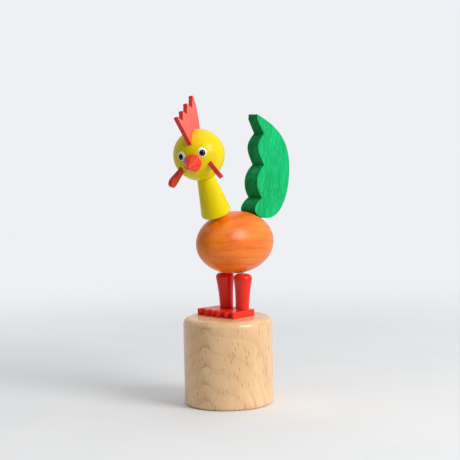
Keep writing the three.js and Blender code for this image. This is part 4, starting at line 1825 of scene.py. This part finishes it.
@dataclass
class Studio:
    """The camera, the pale floor that the toy stands on, and the lights."""

    azimuth: float = 45.5
    elevation: float = 5.9
    roll: float = 1.15
    distance: float = 650.0
    aim_height: float = 70.0
    lens: float = 113.95
    shift: tuple[float, float] = (0.0080, 0.0390)
    view_end: float = 20.0  # metres, as are the floor's sizes
    floor_radius: float = 2.0
    floor_drop: float = 0.00002  # which keeps the floor clear of the drum's ring
    fade: tuple[float, float] = (0.05, 0.48)  # from the toy to where the floor starts fading and is gone
    floor_colours: tuple[str, str] = ("#f0f2f4", "#eaedf0")
    sky: str = "#f6f8fb"
    sky_strength: tuple[float, float] = (0.12, 0.78)  # on the shaded side and on the bright side
    seen_strength: float = 0.93  # of the sky where the camera looks at it
    bright_side: tuple[float, float, float] = (-0.25, 1.0, 0.0)
    sky_edges: tuple[float, float] = (-0.9, 0.6)  # cosines from that side, between which it brightens

    def set_camera(self) -> None:
        """Places the camera on its target and rolls it."""
        azimuth, elevation, roll = (radians(a) for a in (self.azimuth, self.elevation, self.roll))
        back = Vector((sin(azimuth) * cos(elevation), -cos(azimuth) * cos(elevation), sin(elevation)))
        right = Vector((cos(azimuth), sin(azimuth), 0))
        up = back.cross(right)
        across = right * cos(roll) - up * sin(roll)
        rising = right * sin(roll) + up * cos(roll)
        turn = Matrix((across, rising, back)).transposed().to_4x4()
        target = Vector((0, 0, self.aim_height))
        data = bpy.data.cameras.new("camera")
        data.lens = self.lens
        data.shift_x, data.shift_y = self.shift
        data.clip_end = self.view_end
        camera = bpy.data.objects.new("camera", data)
        camera.matrix_world = moved(*(target + back * self.distance)) @ turn
        bpy.context.scene.collection.objects.link(camera)
        bpy.context.scene.camera = camera

    def lay_floor(self) -> None:
        """Lays a pale floor that fades into the sky's colour, so that no horizon shows."""
        clear_selection()
        low = -UP * self.floor_drop
        bpy.ops.mesh.primitive_circle_add(
            vertices=96, radius=self.floor_radius, fill_type="NGON", location=low
        )
        floor = bpy.context.object
        floor.name = "studio_floor"
        material, tree = new_material("pale_paper")
        place_mm = millimetres(tree, (0, 0, 0), (0, 0, 0))
        shade = add_node(tree, "TexNoise", inputs={"Vector": place_mm, "Scale": 0.012, "Detail": 2.0})
        share = ranged(tree, shade.outputs["Fac"], *NOISE_SPAN, (0, 1))
        colour = mixed(tree, share, linear(self.floor_colours[0]), linear(self.floor_colours[1]))
        paper = add_node(tree, "BsdfPrincipled", inputs={"Base Color": colour, "Roughness": 0.75})
        away = add_node(tree, "VectorMath", {"operation": "LENGTH"}, {0: place_mm}).outputs["Value"]
        near, far = (reach / MM for reach in self.fade)
        inputs = {"Value": away, "From Min": near, "From Max": far}
        fade = add_node(tree, "MapRange", {"interpolation_type": "SMOOTHERSTEP"}, inputs).outputs[0]
        nothing = add_node(tree, "BsdfTransparent")
        inputs = {0: fade, 1: paper.outputs[0], 2: nothing.outputs[0]}
        close_tree(tree, add_node(tree, "MixShader", inputs=inputs))
        dress(floor, material)

    def add_light(self, name: str, at: Vector, size: float, watts: float, colour: str) -> None:
        """Adds a square soft light that faces the toy.

        Args:
            name: its name.
            at: its place in metres.
            size: its side in metres.
            watts: its power.
            colour: its colour, in hex.
        """
        data = bpy.data.lights.new(name, "AREA")
        data.size = size
        data.energy = watts
        data.color = linear(colour)[:3]
        light = bpy.data.objects.new(name, data)
        aim = (at - Vector((0, 0, self.aim_height * MM))).normalized()
        light.matrix_world = Matrix.Translation(at) @ aimed(aim)
        bpy.context.scene.collection.objects.link(light)

    def build(self) -> None:
        """Sets up the camera, the floor, the lights and the sky."""
        self.set_camera()
        self.lay_floor()
        self.add_light("window", Vector((0.72, 0.12, 0.52)), 0.4, 5.0, "#fffaf2")
        self.add_light("overhead", Vector((0.15, -0.3, 1.0)), 0.8, 1.7, "#ffffff")
        world = bpy.data.worlds.new("studio")
        world.use_nodes = True
        tree = world.node_tree
        background = tree.nodes["Background"]
        direction = add_node(tree, "TexCoord").outputs["Generated"]
        inputs = {0: direction, 1: Vector(self.bright_side).normalized()}
        facing_it = add_node(tree, "VectorMath", {"operation": "DOT_PRODUCT"}, inputs).outputs["Value"]
        strength = ranged(tree, facing_it, *self.sky_edges, self.sky_strength)
        seen = add_node(tree, "LightPath").outputs["Is Camera Ray"]
        inputs = {0: seen, 2: strength, 3: self.seen_strength}
        shown = add_node(tree, "Mix", inputs=inputs).outputs[0]
        tree.links.new(shown, background.inputs["Strength"])
        background.inputs["Color"].default_value = linear(self.sky)
        bpy.context.scene.world = world
        bpy.context.scene.view_settings.view_transform = "Standard"


COTTON = WaxedCotton().material()


def main() -> None:
    """Builds the toy from the drum up, then the studio."""
    logging.basicConfig(level=logging.INFO, format="%(message)s")
    drum, legs, body, neck, head, tail = Drum(), Legs(), Body(), Neck(), Head(), Tail()
    drum.build()
    legs.build()
    body.build(legs)
    neck.build()
    head.build()
    tail.build(body)
    Cords().build(legs, body, neck, head, tail)
    Studio().build()


if __name__ == "__main__":
    main()
